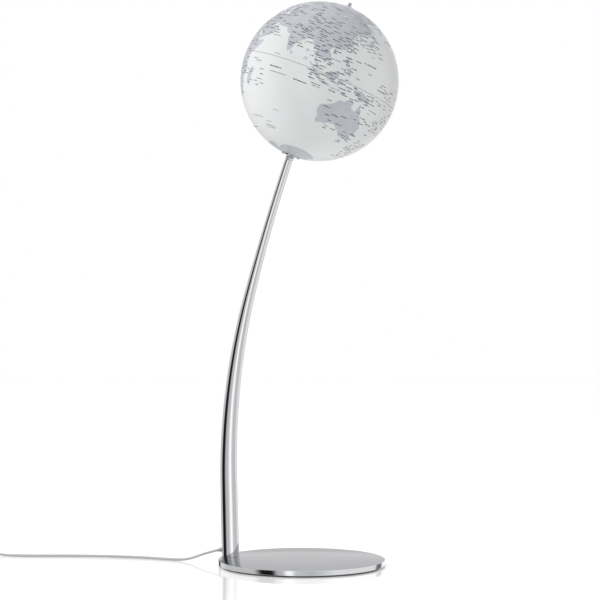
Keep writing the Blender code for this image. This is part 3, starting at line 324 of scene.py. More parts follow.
    ],
}
SEAS = {
    "black_sea": [
        (28, 41.7), (31.5, 41.2), (35, 42), (38.3, 40.95), (41.5, 41.5), (38.5, 44.4), (37, 45.2),
        (39, 47.2), (35, 46.3), (36.5, 45.2), (33.5, 44.5), (32.8, 46.1), (30.5, 46.2), (28, 43.5),
    ],
    "caspian_sea": [
        (50, 37.2), (54, 37), (53.5, 41), (52.5, 42), (51, 45), (53, 46.7), (49, 46.3), (47, 44.5),
        (49.5, 40.5), (48.9, 38.3),
    ],
    "aral_sea": [(58.5, 44), (61, 44.5), (61, 46.5), (59, 46)],
    "lake_baikal": [(103.8, 51.4), (107, 52), (110, 55.6), (109, 55.7), (106, 53.3)],
    "lake_balkhash": [(74, 45), (78.8, 46.5), (75, 46.7)],
    "lake_victoria": [(32, -2.5), (34, -1), (33.5, 0.3), (31.8, 0)],
    "lake_superior_michigan": [(-92, 46.7), (-88, 48.7), (-84.5, 46.7), (-87, 42), (-88, 44.5), (-87, 46.5)],
    "lake_huron_erie": [(-84, 45.8), (-80, 45.6), (-79, 43.2), (-82.5, 41.6), (-82.5, 43.3)],
    "great_bear_slave": [(-123, 66), (-118, 66), (-110, 62.5), (-116, 61)],
    "lake_winnipeg": [(-99, 53.8), (-97, 52), (-96.5, 50.5), (-98.5, 52)],
}

# Where the print has names: longitudes, latitudes, how many words, and their letters' height in millimetres.
NAMED_REGIONS = {
    "china": (78, 122, 22, 44, 70, 1.9),
    "siberia": (58, 150, 48, 70, 40, 1.8),
    "india": (71, 88, 10, 30, 30, 1.9),
    "himalaya": (78, 104, 20, 30, 22, 2.1),
    "middle_east": (34, 62, 14, 40, 60, 1.8),
    "central_asia": (50, 82, 36, 50, 40, 1.8),
    "europe": (-8, 40, 37, 60, 70, 1.2),
    "indochina": (94, 109, 6, 22, 40, 2.1),
    "china_coast": (108, 124, 20, 32, 36, 2.1),
    "japan": (127, 147, 27, 45, 50, 1.6),
    "korea": (119, 131, 31, 43, 20, 1.9),
    "philippines": (117, 128, 4, 19, 26, 1.9),
    "indonesia": (97, 134, -10, 3, 60, 1.9),
    "new_guinea": (131, 154, -11, -1, 22, 1.8),
    "australia": (116, 151, -37, -14, 22, 1.9),
    "australia_coast": (139, 152, -38, -31, 14, 1.6),
    "africa": (-14, 42, -32, 33, 130, 1.6),
    "madagascar": (42, 62, -24, -8, 16, 1.6),
    "north_america": (-122, -70, 28, 58, 70, 1.4),
    "canada": (-135, -65, 55, 72, 16, 1.4),
    "mexico": (-110, -84, 12, 28, 18, 1.4),
    "caribbean": (-86, -60, 11, 25, 20, 1.3),
    "south_america": (-76, -40, -40, 8, 60, 1.4),
    "new_zealand": (160, 179, -56, -33, 60, 1.3),
    "sumatra": (96, 105, -5, 5, 22, 2.1),
    "borneo": (109, 117, -3, 5, 16, 2.1),
    "papua": (137, 149, -8, -3, 16, 2.1),
    "fiji": (166, 181, -22, -8, 16, 1.4),
    "south_sea_islands": (150, 182, -24, 12, 34, 1.4),
    "polynesia": (-178, -136, -26, 8, 24, 1.2),
}
# Longer names at sea: where each starts and ends, its latitude, and its letters' height in millimetres.
SEA_NAMES = [
    (68, 78, -7, 2), (69, 83, -10.5, 1.2), (89, 99, -11, 2), (102, 109, -9, 1.6), (103, 109, -10.5, 1.3),
    (68, 73, 2, 1), (91, 93.5, 5.6, 1), (91, 93.5, 4.4, 1), (90, 92, 11.5, 1.6), (90.5, 92, 10.4, 1.4),
    (86, 88, 15.5, 1), (48, 54, -4.4, 1.4), (52, 58, -5.8, 1.4), (53, 58, -20, 1.3), (57, 63, -18, 1.3),
    (45, 63, -45.6, 1.3), (77, 82, -36.6, 1.2), (68, 74, -47.6, 1.2), (65, 79, -51, 1.4),
    (66, 78, -52.6, 1.4), (109, 116, 11.5, 1.2), (134, 145, 18, 2.2), (139, 142, 24.6, 1.3),
    (139, 142, 12, 1.4),
    (151, 162, 5, 2.2), (167, 173, 8, 1.8), (170, 173, 2.4, 1.3), (164, 167, -2.6, 1.3),
    (131, 134, 5.4, 1.5), (156, 163, -20, 2), (165, 170, -27, 1.6), (156, 161, -10.6, 1.5),
    (152, 154, -13, 1.3), (167, 171, -16, 1.3), (172, 178, -12.6, 1.3), (143, 149, -41.6, 1.2),
    (119, 125, 14.4, 1.6), (-50, -34, 30, 2.2), (-48, -36, 27.6, 1.3), (-30, -16, -22, 2.2),
    (-28, -18, -24.6, 1.3), (-160, -142, 28, 2.2), (-156, -144, 25.4, 1.3), (-130, -112, -22, 2.2),
    (-126, -114, -25, 1.3), (-150, -120, -56, 2), (-40, -10, -58, 2), (20, 40, -56, 1.6),
    (2, 14, 72, 1.3), (-15, 5, 66, 1.3), (-150, -130, 50, 1.5), (160, 175, 45, 1.6),
    (58, 66, 15, 1.4), (-62, -54, 40, 1.3), (-95, -88, 25, 1.3), (-82, -74, 15, 1.3),
]
# How a name is set. Letters, gaps and spaces are shares of the letters' height.
NAMES_SEED = 7
WORD_LENGTHS = (6, 15)  # millimetres
LETTER_WIDTHS = (0.5, 0.75)
LETTER_HEIGHTS = (0.72, 0.72, 1)
LETTER_GAP = 0.07
SPACE = 0.5
SPACE_CHANCE = 0.1
LINE_GAP = 0.55
WORD_GAP = 0.6  # degrees
BARE_EQUATOR = 1  # degrees each side of the joint that hold no name
INK_LAYER = (-0.02 * MM, 0.04 * MM)  # its two faces, from the shell's surface

# ---------------------------------------------------------------- helpers


def paint(code):
    """A linear colour from an sRGB hex value."""
    parts = [int(code[place : place + 2], 16) / 255 for place in (0, 2, 4)]
    linear = [part / 12.92 if part <= 0.04045 else ((part + 0.055) / 1.055) ** 2.4 for part in parts]
    return (*linear, 1)


def add(tree, kind, inputs=None, **settings):
    """Adds a shader node. Settings are its own; inputs gives a socket a value or another node's output."""
    made = tree.nodes.new("ShaderNode" + kind)
    for name, value in settings.items():
        setattr(made, name, value)
    for socket, value in (inputs or {}).items():
        if isinstance(value, bpy.types.NodeSocket):
            tree.links.new(value, made.inputs[socket])
        else:
            made.inputs[socket].default_value = value
    return made


def new_material(name, **constants):
    """A Principled material whose constant values sit on the shader's own sockets."""
    material = bpy.data.materials.new(name)
    material.use_nodes = True
    shader = material.node_tree.nodes["Principled BSDF"]
    for socket, value in constants.items():
        shader.inputs[socket.replace("_", " ")].default_value = value
    return material, material.node_tree, shader


def shades(tree, pattern, dark, light, reach=(0.3, 0.7)):
    """A colour that goes from a dark to a light shade, as a pattern goes through its reach."""
    ramp = add(tree, "ValToRGB", {"Fac": pattern})
    for stop, place, code in zip(ramp.color_ramp.elements, reach, (dark, light)):
        stop.position = place
        stop.color = paint(code)
    return ramp.outputs["Color"]


def vary_colour(tree, shader, pattern, dark, light, reach=(0.3, 0.7)):
    tree.links.new(shades(tree, pattern, dark, light, reach), shader.inputs["Base Color"])


def speckle(tree, size, detail=3.0, stretch=(1, 1, 1)):
    """Noise whose grains are about one size across, in metres, on the piece's own coordinates."""
    place = add(tree, "TexCoord")
    scaled = add(tree, "Mapping", {"Vector": place.outputs["Object"], "Scale": stretch})
    grains = {"Vector": scaled.outputs["Vector"], "Scale": 1 / size, "Detail": detail}
    return add(tree, "TexNoise", grains).outputs["Fac"]


def add_relief(tree, shader, height, depth, strength=1.0):
    bump = add(tree, "Bump", {"Height": height, "Distance": depth, "Strength": strength})
    tree.links.new(bump.outputs["Normal"], shader.inputs["Normal"])


def vary_roughness(tree, shader, factor, smoothest, roughest):
    spread = add(tree, "MapRange", {"Value": factor, "To Min": smoothest, "To Max": roughest})
    tree.links.new(spread.outputs["Result"], shader.inputs["Roughness"])


def new_object(name, data):
    made = bpy.data.objects.new(name, data)
    bpy.context.scene.collection.objects.link(made)
    return made


def place_piece(piece, body, replaced=()):
    """Lets a new piece ride on its body, in place of the CAD nodes that it stands for."""
    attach(piece, body)
    if replaced:
        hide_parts(*replaced)
    return piece


def mesh_piece(name, points, faces, materials, sharp_angle=MADE_CREASE):
    mesh = bpy.data.meshes.new(name)
    mesh.from_pydata([tuple(point) for point in points], [], [tuple(face) for face in faces])
    for material in materials:
        mesh.materials.append(material)
    mesh.shade_smooth()
    mesh.set_sharp_from_angle(angle=sharp_angle)
    return new_object(name, mesh)


def grid_faces(rings, around, closed=False):
    """Quads between rings of equally many points."""
    faces = []
    for ring in range(rings if closed else rings - 1):
        low = ring * around
        high = (ring + 1) % rings * around
        for step in range(around):
            after = (step + 1) % around
            faces.append((low + step, low + after, high + after, high + step))
    return faces


# ---------------------------------------------------------------- camera


def make_camera():
    data = bpy.data.cameras.new("camera")
    data.lens = CAMERA_LENS
    data.sensor_width = CAMERA_SENSOR
    data.clip_start = 0.05
    data.clip_end = 100
    camera = new_object("camera", data)
    camera.location = CAMERA_PLACE
    camera.rotation_mode = "QUATERNION"
    camera.rotation_quaternion = CAMERA_FORWARD.to_track_quat("-Z", "Y")
    bpy.context.scene.camera = camera


# ---------------------------------------------------------------- materials


def make_globe_print():
    """Moulded polystyrene under a satin silver print: a broad, pearly shine and crisp grey continents."""
    material, tree, shader = new_material("satin_silver_print", Metallic=0.25, IOR=1.49)
    inland = add(tree, "Attribute", attribute_name="inland").outputs["Fac"]
    north = add(tree, "Attribute", attribute_name="north_of_equator").outputs["Fac"]
    # The coast's small bays and spits are 1 to 4 mm across, and the print's edge is 0.3 mm soft.
    bays = speckle(tree, 4 * MM, detail=5)
    ragged = add(tree, "MapRange", {"Value": bays, "To Min": -0.4, "To Max": 0.7}).outputs["Result"]
    shore = add(tree, "Math", {0: inland, 1: ragged}, operation="ADD").outputs["Value"]
    land = add(tree, "MapRange", {"Value": shore, "From Min": -0.06, "From Max": 0.06}).outputs["Result"]
    flake = speckle(tree, 1.2 * MM, detail=2)
    sea = shades(tree, flake, "CCCDCE", "D6D7D7")
    hills = speckle(tree, 9 * MM, detail=6)
    ground = shades(tree, hills, "ABAEB4", "B6B9BE")
    printed = add(tree, "Mix", {"Factor": land, "A": sea, "B": ground}, data_type="RGBA")
    printed = printed.outputs["Result"]
    # The equator is a printed line 0.9 mm wide over the joint between the shells.
    away = add(tree, "Math", {0: north}, operation="ABSOLUTE").outputs["Value"]
    edge = {"Value": away, "From Min": 0.42 * MM, "From Max": 0.3 * MM}
    line = add(tree, "MapRange", edge).outputs["Result"]
    lined = add(tree, "Mix", {"Factor": line, "A": printed, "B": paint("8C8580")}, data_type="RGBA")
    tree.links.new(lined.outputs["Result"], shader.inputs["Base Color"])
    vary_roughness(tree, shader, flake, 0.42, 0.5)
    add_relief(tree, shader, hills, 0.05 * MM, 0.4)
    return material


def make_ink():
    """Screen-printing ink, grey: matt and a little uneven in weight."""
    material, tree, shader = new_material("grey_printing_ink", Roughness=0.6, IOR=1.5)
    vary_colour(tree, shader, speckle(tree, 6 * MM), "2E3136", "44474C")
    return material


def make_chrome():
    """Chrome plate on steel tube, mirror polished: clear reflections with a polishing wheel's faint wave."""
    material, tree, shader = new_material("polished_chrome", Base_Color=paint("E4E5E7"), Metallic=1.0)
    wave = speckle(tree, 35 * MM, detail=1)
    vary_roughness(tree, shader, speckle(tree, 8 * MM), 0.03, 0.08)
    add_relief(tree, shader, wave, 0.06 * MM, 0.5)
    return material


def make_brushed_steel():
    """Stainless steel plate, brushed in one direction: fine parallel lines that spread each highlight."""
    material, tree, shader = new_material("brushed_steel_plate", Metallic=1.0, Specular_Tint=paint("D8D8D9"))
    # A 180-grit belt leaves lines about 0.1 mm apart. To show, they are drawn 0.3 mm apart and 50 mm long.
    lines = speckle(tree, 0.3 * MM, detail=2, stretch=(0.006, 1, 1))
    vary_colour(tree, shader, lines, "AEAFB1", "BDBEC0")
    vary_roughness(tree, shader, lines, 0.12, 0.2)
    add_relief(tree, shader, lines, 0.01 * MM, 0.35)
    return material


def make_metal(name, dark, light, smoothest, roughest, grain, stretch=(1, 1, 1), detail=2.0):
    """Bare or plated metal: a near-even colour and shine, broken up by the tool's lines or by crystals."""
    material, tree, shader = new_material(name, Metallic=1.0)
    marks = speckle(tree, grain, detail, stretch)
    vary_colour(tree, shader, marks, dark, light)
    vary_roughness(tree, shader, marks, smoothest, roughest)
    return material


def make_moulded(name, dark, light, smoothest, roughest, grain):
    """Moulded plastic or rubber: a near-even colour with a fine mould texture that breaks up the shine."""
    material, tree, shader = new_material(name, IOR=1.5)
    texture = speckle(tree, grain)
    vary_colour(tree, shader, texture, dark, light)
    vary_roughness(tree, shader, texture, smoothest, roughest)
    add_relief(tree, shader, texture, 0.03 * MM, 0.3)
    return material


def make_felt():
    """Pressed felt, near black: no shine, with matted fibres 0.4 mm across."""
    material, tree, shader = new_material("pressed_felt", Roughness=0.95, Sheen_Weight=0.3)
    fibres = speckle(tree, 0.4 * MM, detail=4)
    vary_colour(tree, shader, fibres, "1E1E1F", "303032")
    add_relief(tree, shader, fibres, 0.3 * MM, 0.8)
    return material


# ---------------------------------------------------------------- the free lead


def arm_place(distance):
    """The arm's middle line: the point at a distance from its foot, and its lean from upright."""
    straight = min(distance, ARM_STRAIGHT)
    point = ARM_START + Vector((math.sin(ARM_LEAN), 0, math.cos(ARM_LEAN))) * straight
    angle = ARM_LEAN
    rest = distance - straight
    for radius, end_angle in ARM_BENDS:
        length = radius * (end_angle - angle) if rest > 0 else 0
        swept = min(rest, length) / radius
        step = Vector((math.cos(angle) - math.cos(angle + swept), 0, 0))
        step.z = math.sin(angle + swept) - math.sin(angle)
        point = point + step * radius
        angle += swept
        rest = max(0, rest - length)
    return point, angle


def arm_length():
    length = ARM_STRAIGHT
    angle = ARM_LEAN
    for radius, end_angle in ARM_BENDS:
        length += radius * (end_angle - angle)
        angle = end_angle
    return length


ARM_LENGTH = arm_length()


def arm_section(distance):
    """The oval's width in the plane of the bend and its depth across it."""
    share = min(1, max(0, (distance - ARM_TAPER_START) / (ARM_LENGTH - ARM_TAPER_START)))
    blend = (1 - math.cos(math.pi * share)) / 2
    return [foot + (top - foot) * blend for foot, top in zip(ARM_FOOT, ARM_TOP)]


def smooth_points(route, spacing):
    """Points about one spacing apart on a smooth curve through every point of the route."""
    ends = [2 * route[0] - route[1]] + route + [2 * route[-1] - route[-2]]
    points = []
    for before, start, end, after in zip(ends, ends[1:], ends[2:], ends[3:]):
        steps = max(1, round((end - start).length / spacing))
        for step in range(steps):
            t = step / steps
            bend = (2 * before - 5 * start + 4 * end - after) * t**2
            bend += (3 * start - before - 3 * end + after) * t**3
            points.append(0.5 * (2 * start + (end - before) * t + bend))
    points.append(route[-1])
    return points


def ease(value, start, end):
    """0 before start, 1 after end, and a smooth rise between."""
    share = min(1, max(0, (value - start) / (end - start)))
    return share * share * (3 - 2 * share)


def coil_points():
    """Five and a half turns, wound inwards on the floor and back outwards on top of themselves."""
    count = round(COIL_TURNS * COIL_TURN_POINTS)
    points = []
    for index in range(1, count):
        turn = COIL_TURNS * index / count
        moved = sum(way * ease(turn, start, end) for start, end, way in COIL_MOVES)
        radius = COIL_OUTER_TURN + COIL_PITCH * moved
        height = COIL_LOWER + (COIL_UPPER - COIL_LOWER) * ease(turn, *COIL_CLIMB)
        angle = -math.pi / 2 - math.tau * turn
        points.append(COIL_CENTRE + Vector((radius * math.cos(angle), radius * math.sin(angle), height)))
    return points


def make_lead(sheath):
    """The mains lead: one round cord from the arm, through the switch, into the coil and out to the plug."""
    point, angle = arm_place(RELIEF_HEIGHT)
    width, _ = arm_section(RELIEF_HEIGHT)
    edge = point - Vector((math.cos(angle), 0, -math.sin(angle))) * width / 2
    way_out = Vector((-math.cos(RELIEF_DROP), 0, -math.sin(RELIEF_DROP)))
    leaves = edge + way_out * RELIEF_REACH
    stub = Vector((LEAD_STUB, 0, 0))
    route = [leaves, leaves + way_out * LEAD_STUB]
    route += [leaves + Vector(step) * MM for step in LEAD_DROP]
    route += [Vector(place) * MM for place in ROUTE_TO_SWITCH]
    route += [SWITCH_MIDDLE + SWITCH_END + stub, SWITCH_MIDDLE + SWITCH_END]
    route += [SWITCH_MIDDLE - SWITCH_END, SWITCH_MIDDLE - SWITCH_END - stub]
    route += [Vector(place) * MM for place in ROUTE_TO_COIL]
    to_plug = [Vector(place) * MM for place in ROUTE_TO_PLUG] + [PLUG_ENTRY - stub, PLUG_ENTRY]
    into_coil = COIL_CENTRE + Vector((0, -COIL_OUTER_TURN, COIL_LOWER))
    out_of_coil = COIL_CENTRE + Vector((0, COIL_OUTER_TURN, COIL_UPPER))
    points = smooth_points(route + [into_coil], LEAD_POINT_SPACING)
    points += coil_points()
    points += smooth_points([out_of_coil] + to_plug, LEAD_POINT_SPACING)
    curve = bpy.data.curves.new("mains_lead", "CURVE")
    curve.dimensions = "3D"
    curve.bevel_depth = LEAD_RADIUS
    curve.bevel_resolution = 5
    curve.use_fill_caps = True
    spline = curve.splines.new("POLY")
    spline.points.add(len(points) - 1)
    spline.use_smooth = True
    for target, place in zip(spline.points, points):
        target.co = (*place, 1)
    curve.materials.append(sheath)
    lead = new_object("mains_lead", curve)
    solids = ("mains_lead_switch", "mains_lead_coil", "mains_lead_plug", "mains_coil")
    place_piece(lead, "stand", solids)
    carried = ["switch_base", "switch_cover", "switch_rocker", "switch_pin", "cord_tie"]
    carried += ["plug_body", "plug_pin_1", "plug_pin_2"]


# ---------------------------------------------------------------- the globe


def degrees_inland(outline, longitude, latitude):
    """How far inside one outline each point lies, in degrees of arc, below zero outside it."""
    narrow = np.cos(np.radians(latitude))
    nearest = np.full(longitude.shape, np.inf)
    inside = np.zeros(longitude.shape, bool)
    for (x0, y0), (x1, y1) in zip(outline, outline[1:] + outline[:1]):
        along, up = (x1 - x0) * narrow, y1 - y0
        east, north = (longitude - x0) * narrow, latitude - y0
        share = np.clip((east * along + north * up) / np.maximum(along**2 + up**2, 1e-9), 0, 1)
        nearest = np.minimum(nearest, np.hypot(east - share * along, north - share * up))
        if y0 != y1:
            crosses = (y0 > latitude) != (y1 > latitude)
            inside ^= crosses & (longitude < x0 + (latitude - y0) / (y1 - y0) * (x1 - x0))
    return np.where(inside, nearest, -nearest)


def inland_at(longitude, latitude):
    """Degrees inland of the nearest coast of the whole map, below zero at sea."""
    found = np.full(longitude.shape, -COAST_MARGIN)

    def near(outline, turn):
        lons, lats = zip(*outline)
        lon = longitude + turn
        wide = COAST_MARGIN / np.maximum(np.cos(np.radians(latitude)), 0.1)
        kept = (lon > min(lons) - wide) & (lon < max(lons) + wide)
        return lon, kept & (latitude > min(lats) - COAST_MARGIN) & (latitude < max(lats) + COAST_MARGIN)

    for outlines, land in ((LAND, True), (SEAS, False)):
        for outline in outlines.values():
            for turn in (-360, 0, 360):
                lon, kept = near(outline, turn)
                if not kept.any():
                    continue
                depth = degrees_inland(outline, lon[kept], latitude[kept])
                depth = np.clip(depth, -COAST_MARGIN, COAST_MARGIN)
                found[kept] = np.maximum(found[kept], depth) if land else np.minimum(found[kept], -depth)
    return found


def map_latitude(latitude):
    """The map's latitude at a place on the shell, whose print was drawn towards the equator."""
    size = np.abs(latitude)
    drawn = np.where(latitude > 0, MAP_PULL_NORTH, MAP_PULL_SOUTH) * np.clip(size / MAP_PULL_FROM, 0, 1)
    drawn *= np.clip((MAP_PULL_TO - size) / MAP_PULL_FADE, 0, 1)
    return latitude + np.sign(latitude) * drawn


def globe_place():
    """The globe's own frame: Z towards its north pole."""
    turn = Quaternion((0, 1, 0), GLOBE_TILT).to_matrix().to_4x4()
    turn.translation = GLOBE_CENTRE
    return turn


def degrees_along(length, latitude):
    """The longitude that a length covers along its parallel."""
    return math.degrees(length / (GLOBE_RADIUS * math.cos(math.radians(latitude))))


def on_globe(longitude, latitude, radius):
    """A place on the globe, in its own frame."""
    around = math.radians(longitude - LONGITUDE_TO_X)
    up = math.radians(latitude)
    level = radius * math.cos(up)
    return Vector((level * math.cos(around), level * math.sin(around), radius * math.sin(up)))


def make_shell(name, sign, hole_radius, material):
    """Half the globe as a closed shell, whose outer points know how far inland they lie."""
    top = math.degrees(math.acos(hole_radius / GLOBE_RADIUS))
    lowest = math.degrees(JOINT_GAP / GLOBE_RADIUS)
    rows = [lowest] + list(np.arange(MAP_STEP, top, MAP_STEP)) + [top]
    inner_rows = rows[::-INNER_ROWS] + [lowest]
    rings = [(GLOBE_RADIUS, row) for row in rows]
    rings += [(GLOBE_RADIUS - GLOBE_WALL, row) for row in inner_rows]
    turns = np.arange(RING_POINTS) * MAP_STEP
    radius = np.repeat([ring[0] for ring in rings], RING_POINTS)
    latitude = np.repeat([sign * ring[1] for ring in rings], RING_POINTS)
    longitude = np.tile(turns, len(rings)) - 180
    around = np.radians(longitude - LONGITUDE_TO_X)
    up = np.radians(latitude)
    points = np.stack(
        [radius * np.cos(up) * np.cos(around), radius * np.cos(up) * np.sin(around), radius * np.sin(up)],
        axis=1,
    )
    faces = grid_faces(len(rings), RING_POINTS, closed=True)
    if sign < 0:
        faces = [face[::-1] for face in faces]
    shell = mesh_piece(name, points.tolist(), faces, [material])
    inland = np.full(len(points), -COAST_MARGIN)
    outer = radius > GLOBE_RADIUS - GLOBE_WALL / 2
    inland[outer] = inland_at(longitude[outer], map_latitude(latitude[outer]))
    for label, values in (("inland", inland), ("north_of_equator", points[:, 2])):
        attribute = shell.data.attributes.new(label, "FLOAT", "POINT")
        attribute.data.foreach_set("value", np.asarray(values, np.float32))
    shell.data.transform(globe_place())
    return shell


def add_bar(points, faces, longitude, latitude, width, height):
    """A thin printed bar lying along its parallel: its middle, and its size in metres."""
    east = degrees_along(width / 2, latitude)
    up = math.degrees(height / 2 / GLOBE_RADIUS)
    first = len(points)
    for face_height in INK_LAYER:
        for x, y in ((-east, -up), (east, -up), (east, up), (-east, up)):
            points.append(on_globe(longitude + x, latitude + y, GLOBE_RADIUS + face_height))
    for face in ((3, 2, 1, 0), (4, 5, 6, 7), (0, 1, 5, 4), (1, 2, 6, 5), (2, 3, 7, 6), (3, 0, 4, 7)):
        faces.append([first + corner for corner in face])


def add_word(points, faces, chance, start, latitude, length, height):
    """A name set as plain bars, one for each letter, with a gap at each space. Start is a longitude."""
    turn_for_mm = degrees_along(MM, latitude)
    place = 0
    while place < length:
        width = height * chance.uniform(*LETTER_WIDTHS)
        tall = height * chance.choice(LETTER_HEIGHTS)
        middle = start + (place + width / 2) * turn_for_mm
        drop = math.degrees((tall - height) / 2 * MM / GLOBE_RADIUS)
        add_bar(points, faces, middle, latitude + drop, width * MM, tall * MM)
        place += width + height * LETTER_GAP
        if chance.random() < SPACE_CHANCE:
            place += height * SPACE


def make_names(ink):
    """Every printed name, as one layer of ink bars on both shells. None of them crosses the joint."""
    chance = random.Random(NAMES_SEED)
    words = []
    for start, end, latitude, height in SEA_NAMES:
        arc = math.radians(end - start) * math.cos(math.radians(latitude))
        words.append((start, latitude, arc * GLOBE_RADIUS / MM, height))
    for west, east, south, north, count, height in NAMED_REGIONS.values():
        for _ in range(count):
            length = chance.uniform(*WORD_LENGTHS)
            words.append((chance.uniform(west, east), chance.uniform(south, north), length, height))
    taken = []
    points = []
    faces = []
    for start, latitude, length, height in words:
        if abs(latitude) < BARE_EQUATOR:
            continue
        end = start + degrees_along(length * MM, latitude)
        clear = LINE_GAP * height
        if any(
            abs(latitude - level) < clear and start < east + WORD_GAP and west < end + WORD_GAP
            for west, level, east in taken
        ):
            continue
        taken.append((start, latitude, end))
        add_word(points, faces, chance, start, latitude, length, height)
    names = mesh_piece("printed_names", points, faces, [ink])
    names.data.transform(globe_place())
    return names


# ---------------------------------------------------------------- arm and base


def arm_ring(distance, offset, count):
    """One oval ring across the arm. Its last rings turn: level at the foot, square to the axis on top."""
    point, angle = arm_place(distance)
    half_width, half_depth = (size / 2 + offset for size in arm_section(distance))
    angle += (GLOBE_TILT - ARM_BENDS[-1][1]) * max(0, 1 - (ARM_LENGTH - distance) / ARM_END_TURN)
    angle -= ARM_LEAN * max(0, 1 - distance / ARM_END_TURN)
    across = Vector((math.cos(angle), 0, -math.sin(angle)))
    ring = []
    for index in range(count):
        turn = math.tau * index / count
        wide = math.copysign(abs(math.cos(turn)) ** (2 / ARM_OVAL_POWER), math.cos(turn))
        deep = math.copysign(abs(math.sin(turn)) ** (2 / ARM_OVAL_POWER), math.sin(turn))
        ring.append(point + across * half_width * wide + Vector((0, half_depth * deep, 0)))
    return ring


def make_arm(chrome):
    """The bow arm as a closed tube: up its outside and back down its inside."""
    points = []
    for offset, order in ((0, range(ARM_RINGS)), (-ARM_WALL, range(ARM_RINGS - 1, -1, -1))):
        for ring in order:
            points += arm_ring(ARM_LENGTH * ring / (ARM_RINGS - 1), offset, ARM_RING_POINTS)
    faces = [face[::-1] for face in grid_faces(2 * ARM_RINGS, ARM_RING_POINTS, closed=True)]
    return mesh_piece("polished_bow_arm", points, faces, [chrome])


def make_plate(steel, rim):
    """The base plate: brushed on top, with a polished and softly broken edge."""
    outline = [(PLATE_FLAT, PLATE_BOTTOM), (BASE_RADIUS - RIM_BEVEL, PLATE_BOTTOM)]
    for centre, start in ((PLATE_BOTTOM + RIM_BEVEL, -90), (PLATE_TOP - RIM_BEVEL, 0)):
        for step in range(RIM_BEVEL_STEPS + 1):
            angle = math.radians(start + 90 * step / RIM_BEVEL_STEPS)
            radius = BASE_RADIUS - RIM_BEVEL + RIM_BEVEL * math.cos(angle)
            outline.append((radius, centre + RIM_BEVEL * math.sin(angle)))
    outline.append((PLATE_FLAT, PLATE_TOP))
    around = PLATE_RING_POINTS
    points = []
    for radius, height in outline:
        for step in range(around):
            angle = math.tau * step / around
            points.append((radius * math.cos(angle), radius * math.sin(angle), height))
    faces = grid_faces(len(outline), around)
    below = len(points)
    points += [(0, 0, PLATE_BOTTOM), (0, 0, PLATE_TOP)]
    last = (len(outline) - 1) * around
    for step in range(around):
        after = (step + 1) % around
        faces.append((below, after, step))
        faces.append((below + 1, last + step, last + after))
    plate = mesh_piece("brushed_base_plate", points, faces, [steel, rim], PLATE_CREASE)
    for polygon in plate.data.polygons:
        if abs(polygon.normal.z) < LEVEL:
            polygon.material_index = 1
    return plate


# ---------------------------------------------------------------- carried-over parts


def finish_node(name, material):
    """A better material and smooth turned surfaces for a part whose shape stays."""
    node = frame["nodes"][name]
    node.data.materials.clear()
    node.data.materials.append(material)
    bpy.context.view_layer.objects.active = node
    if node.data.has_custom_normals:
        bpy.ops.mesh.customdata_custom_splitnormals_clear()
    node.data.shade_smooth()
    weld = node.modifiers.new("weld", "WELD")
    weld.merge_threshold = WELD_REACH
    if name in ROUNDED_EDGES:
        rounding = node.modifiers.new("rounding", "BEVEL")
        rounding.width = ROUNDED_EDGES[name]
        rounding.segments = ROUNDING_STEPS
        rounding.limit_method = "ANGLE"
        rounding.angle_limit = ROUNDED_ANGLE
    split = node.modifiers.new("edges", "EDGE_SPLIT")
    split.split_angle = CREASE_ANGLE


# ---------------------------------------------------------------- studio


def make_floor():
    """A white board that is lacquered round the globe's stand and fades to matt paper further out."""
    mesh = bpy.data.meshes.new("floor")
    low, high = -FLOOR_HALF_SIDE, FLOOR_HALF_SIDE
    mesh.from_pydata([(low, low, 0), (high, low, 0), (high, high, 0), (low, high, 0)], [], [(0, 1, 2, 3)])
    floor = new_object("floor", mesh)
    floor.visible_glossy = False
    material, tree, shader = new_material("white_lacquered_board", IOR=1.95)
    cloud = speckle(tree, 400 * MM)
    vary_colour(tree, shader, cloud, "EBEBEB", "EEEEEE", reach=(0, 1))
    vary_roughness(tree, shader, cloud, 0.05, 0.07)
    away = add(tree, "VectorMath", {0: add(tree, "NewGeometry").outputs["Position"]}, operation="LENGTH")
    near, far = LACQUER_FADE
    fade = {"Value": away.outputs["Value"], "From Min": near, "From Max": far}
    gloss = add(tree, "MapRange", {**fade, "To Min": LACQUER_GLOSS, "To Max": 0.0})
    tree.links.new(gloss.outputs["Result"], shader.inputs["Specular IOR Level"])
    mesh.materials.append(material)
    return floor


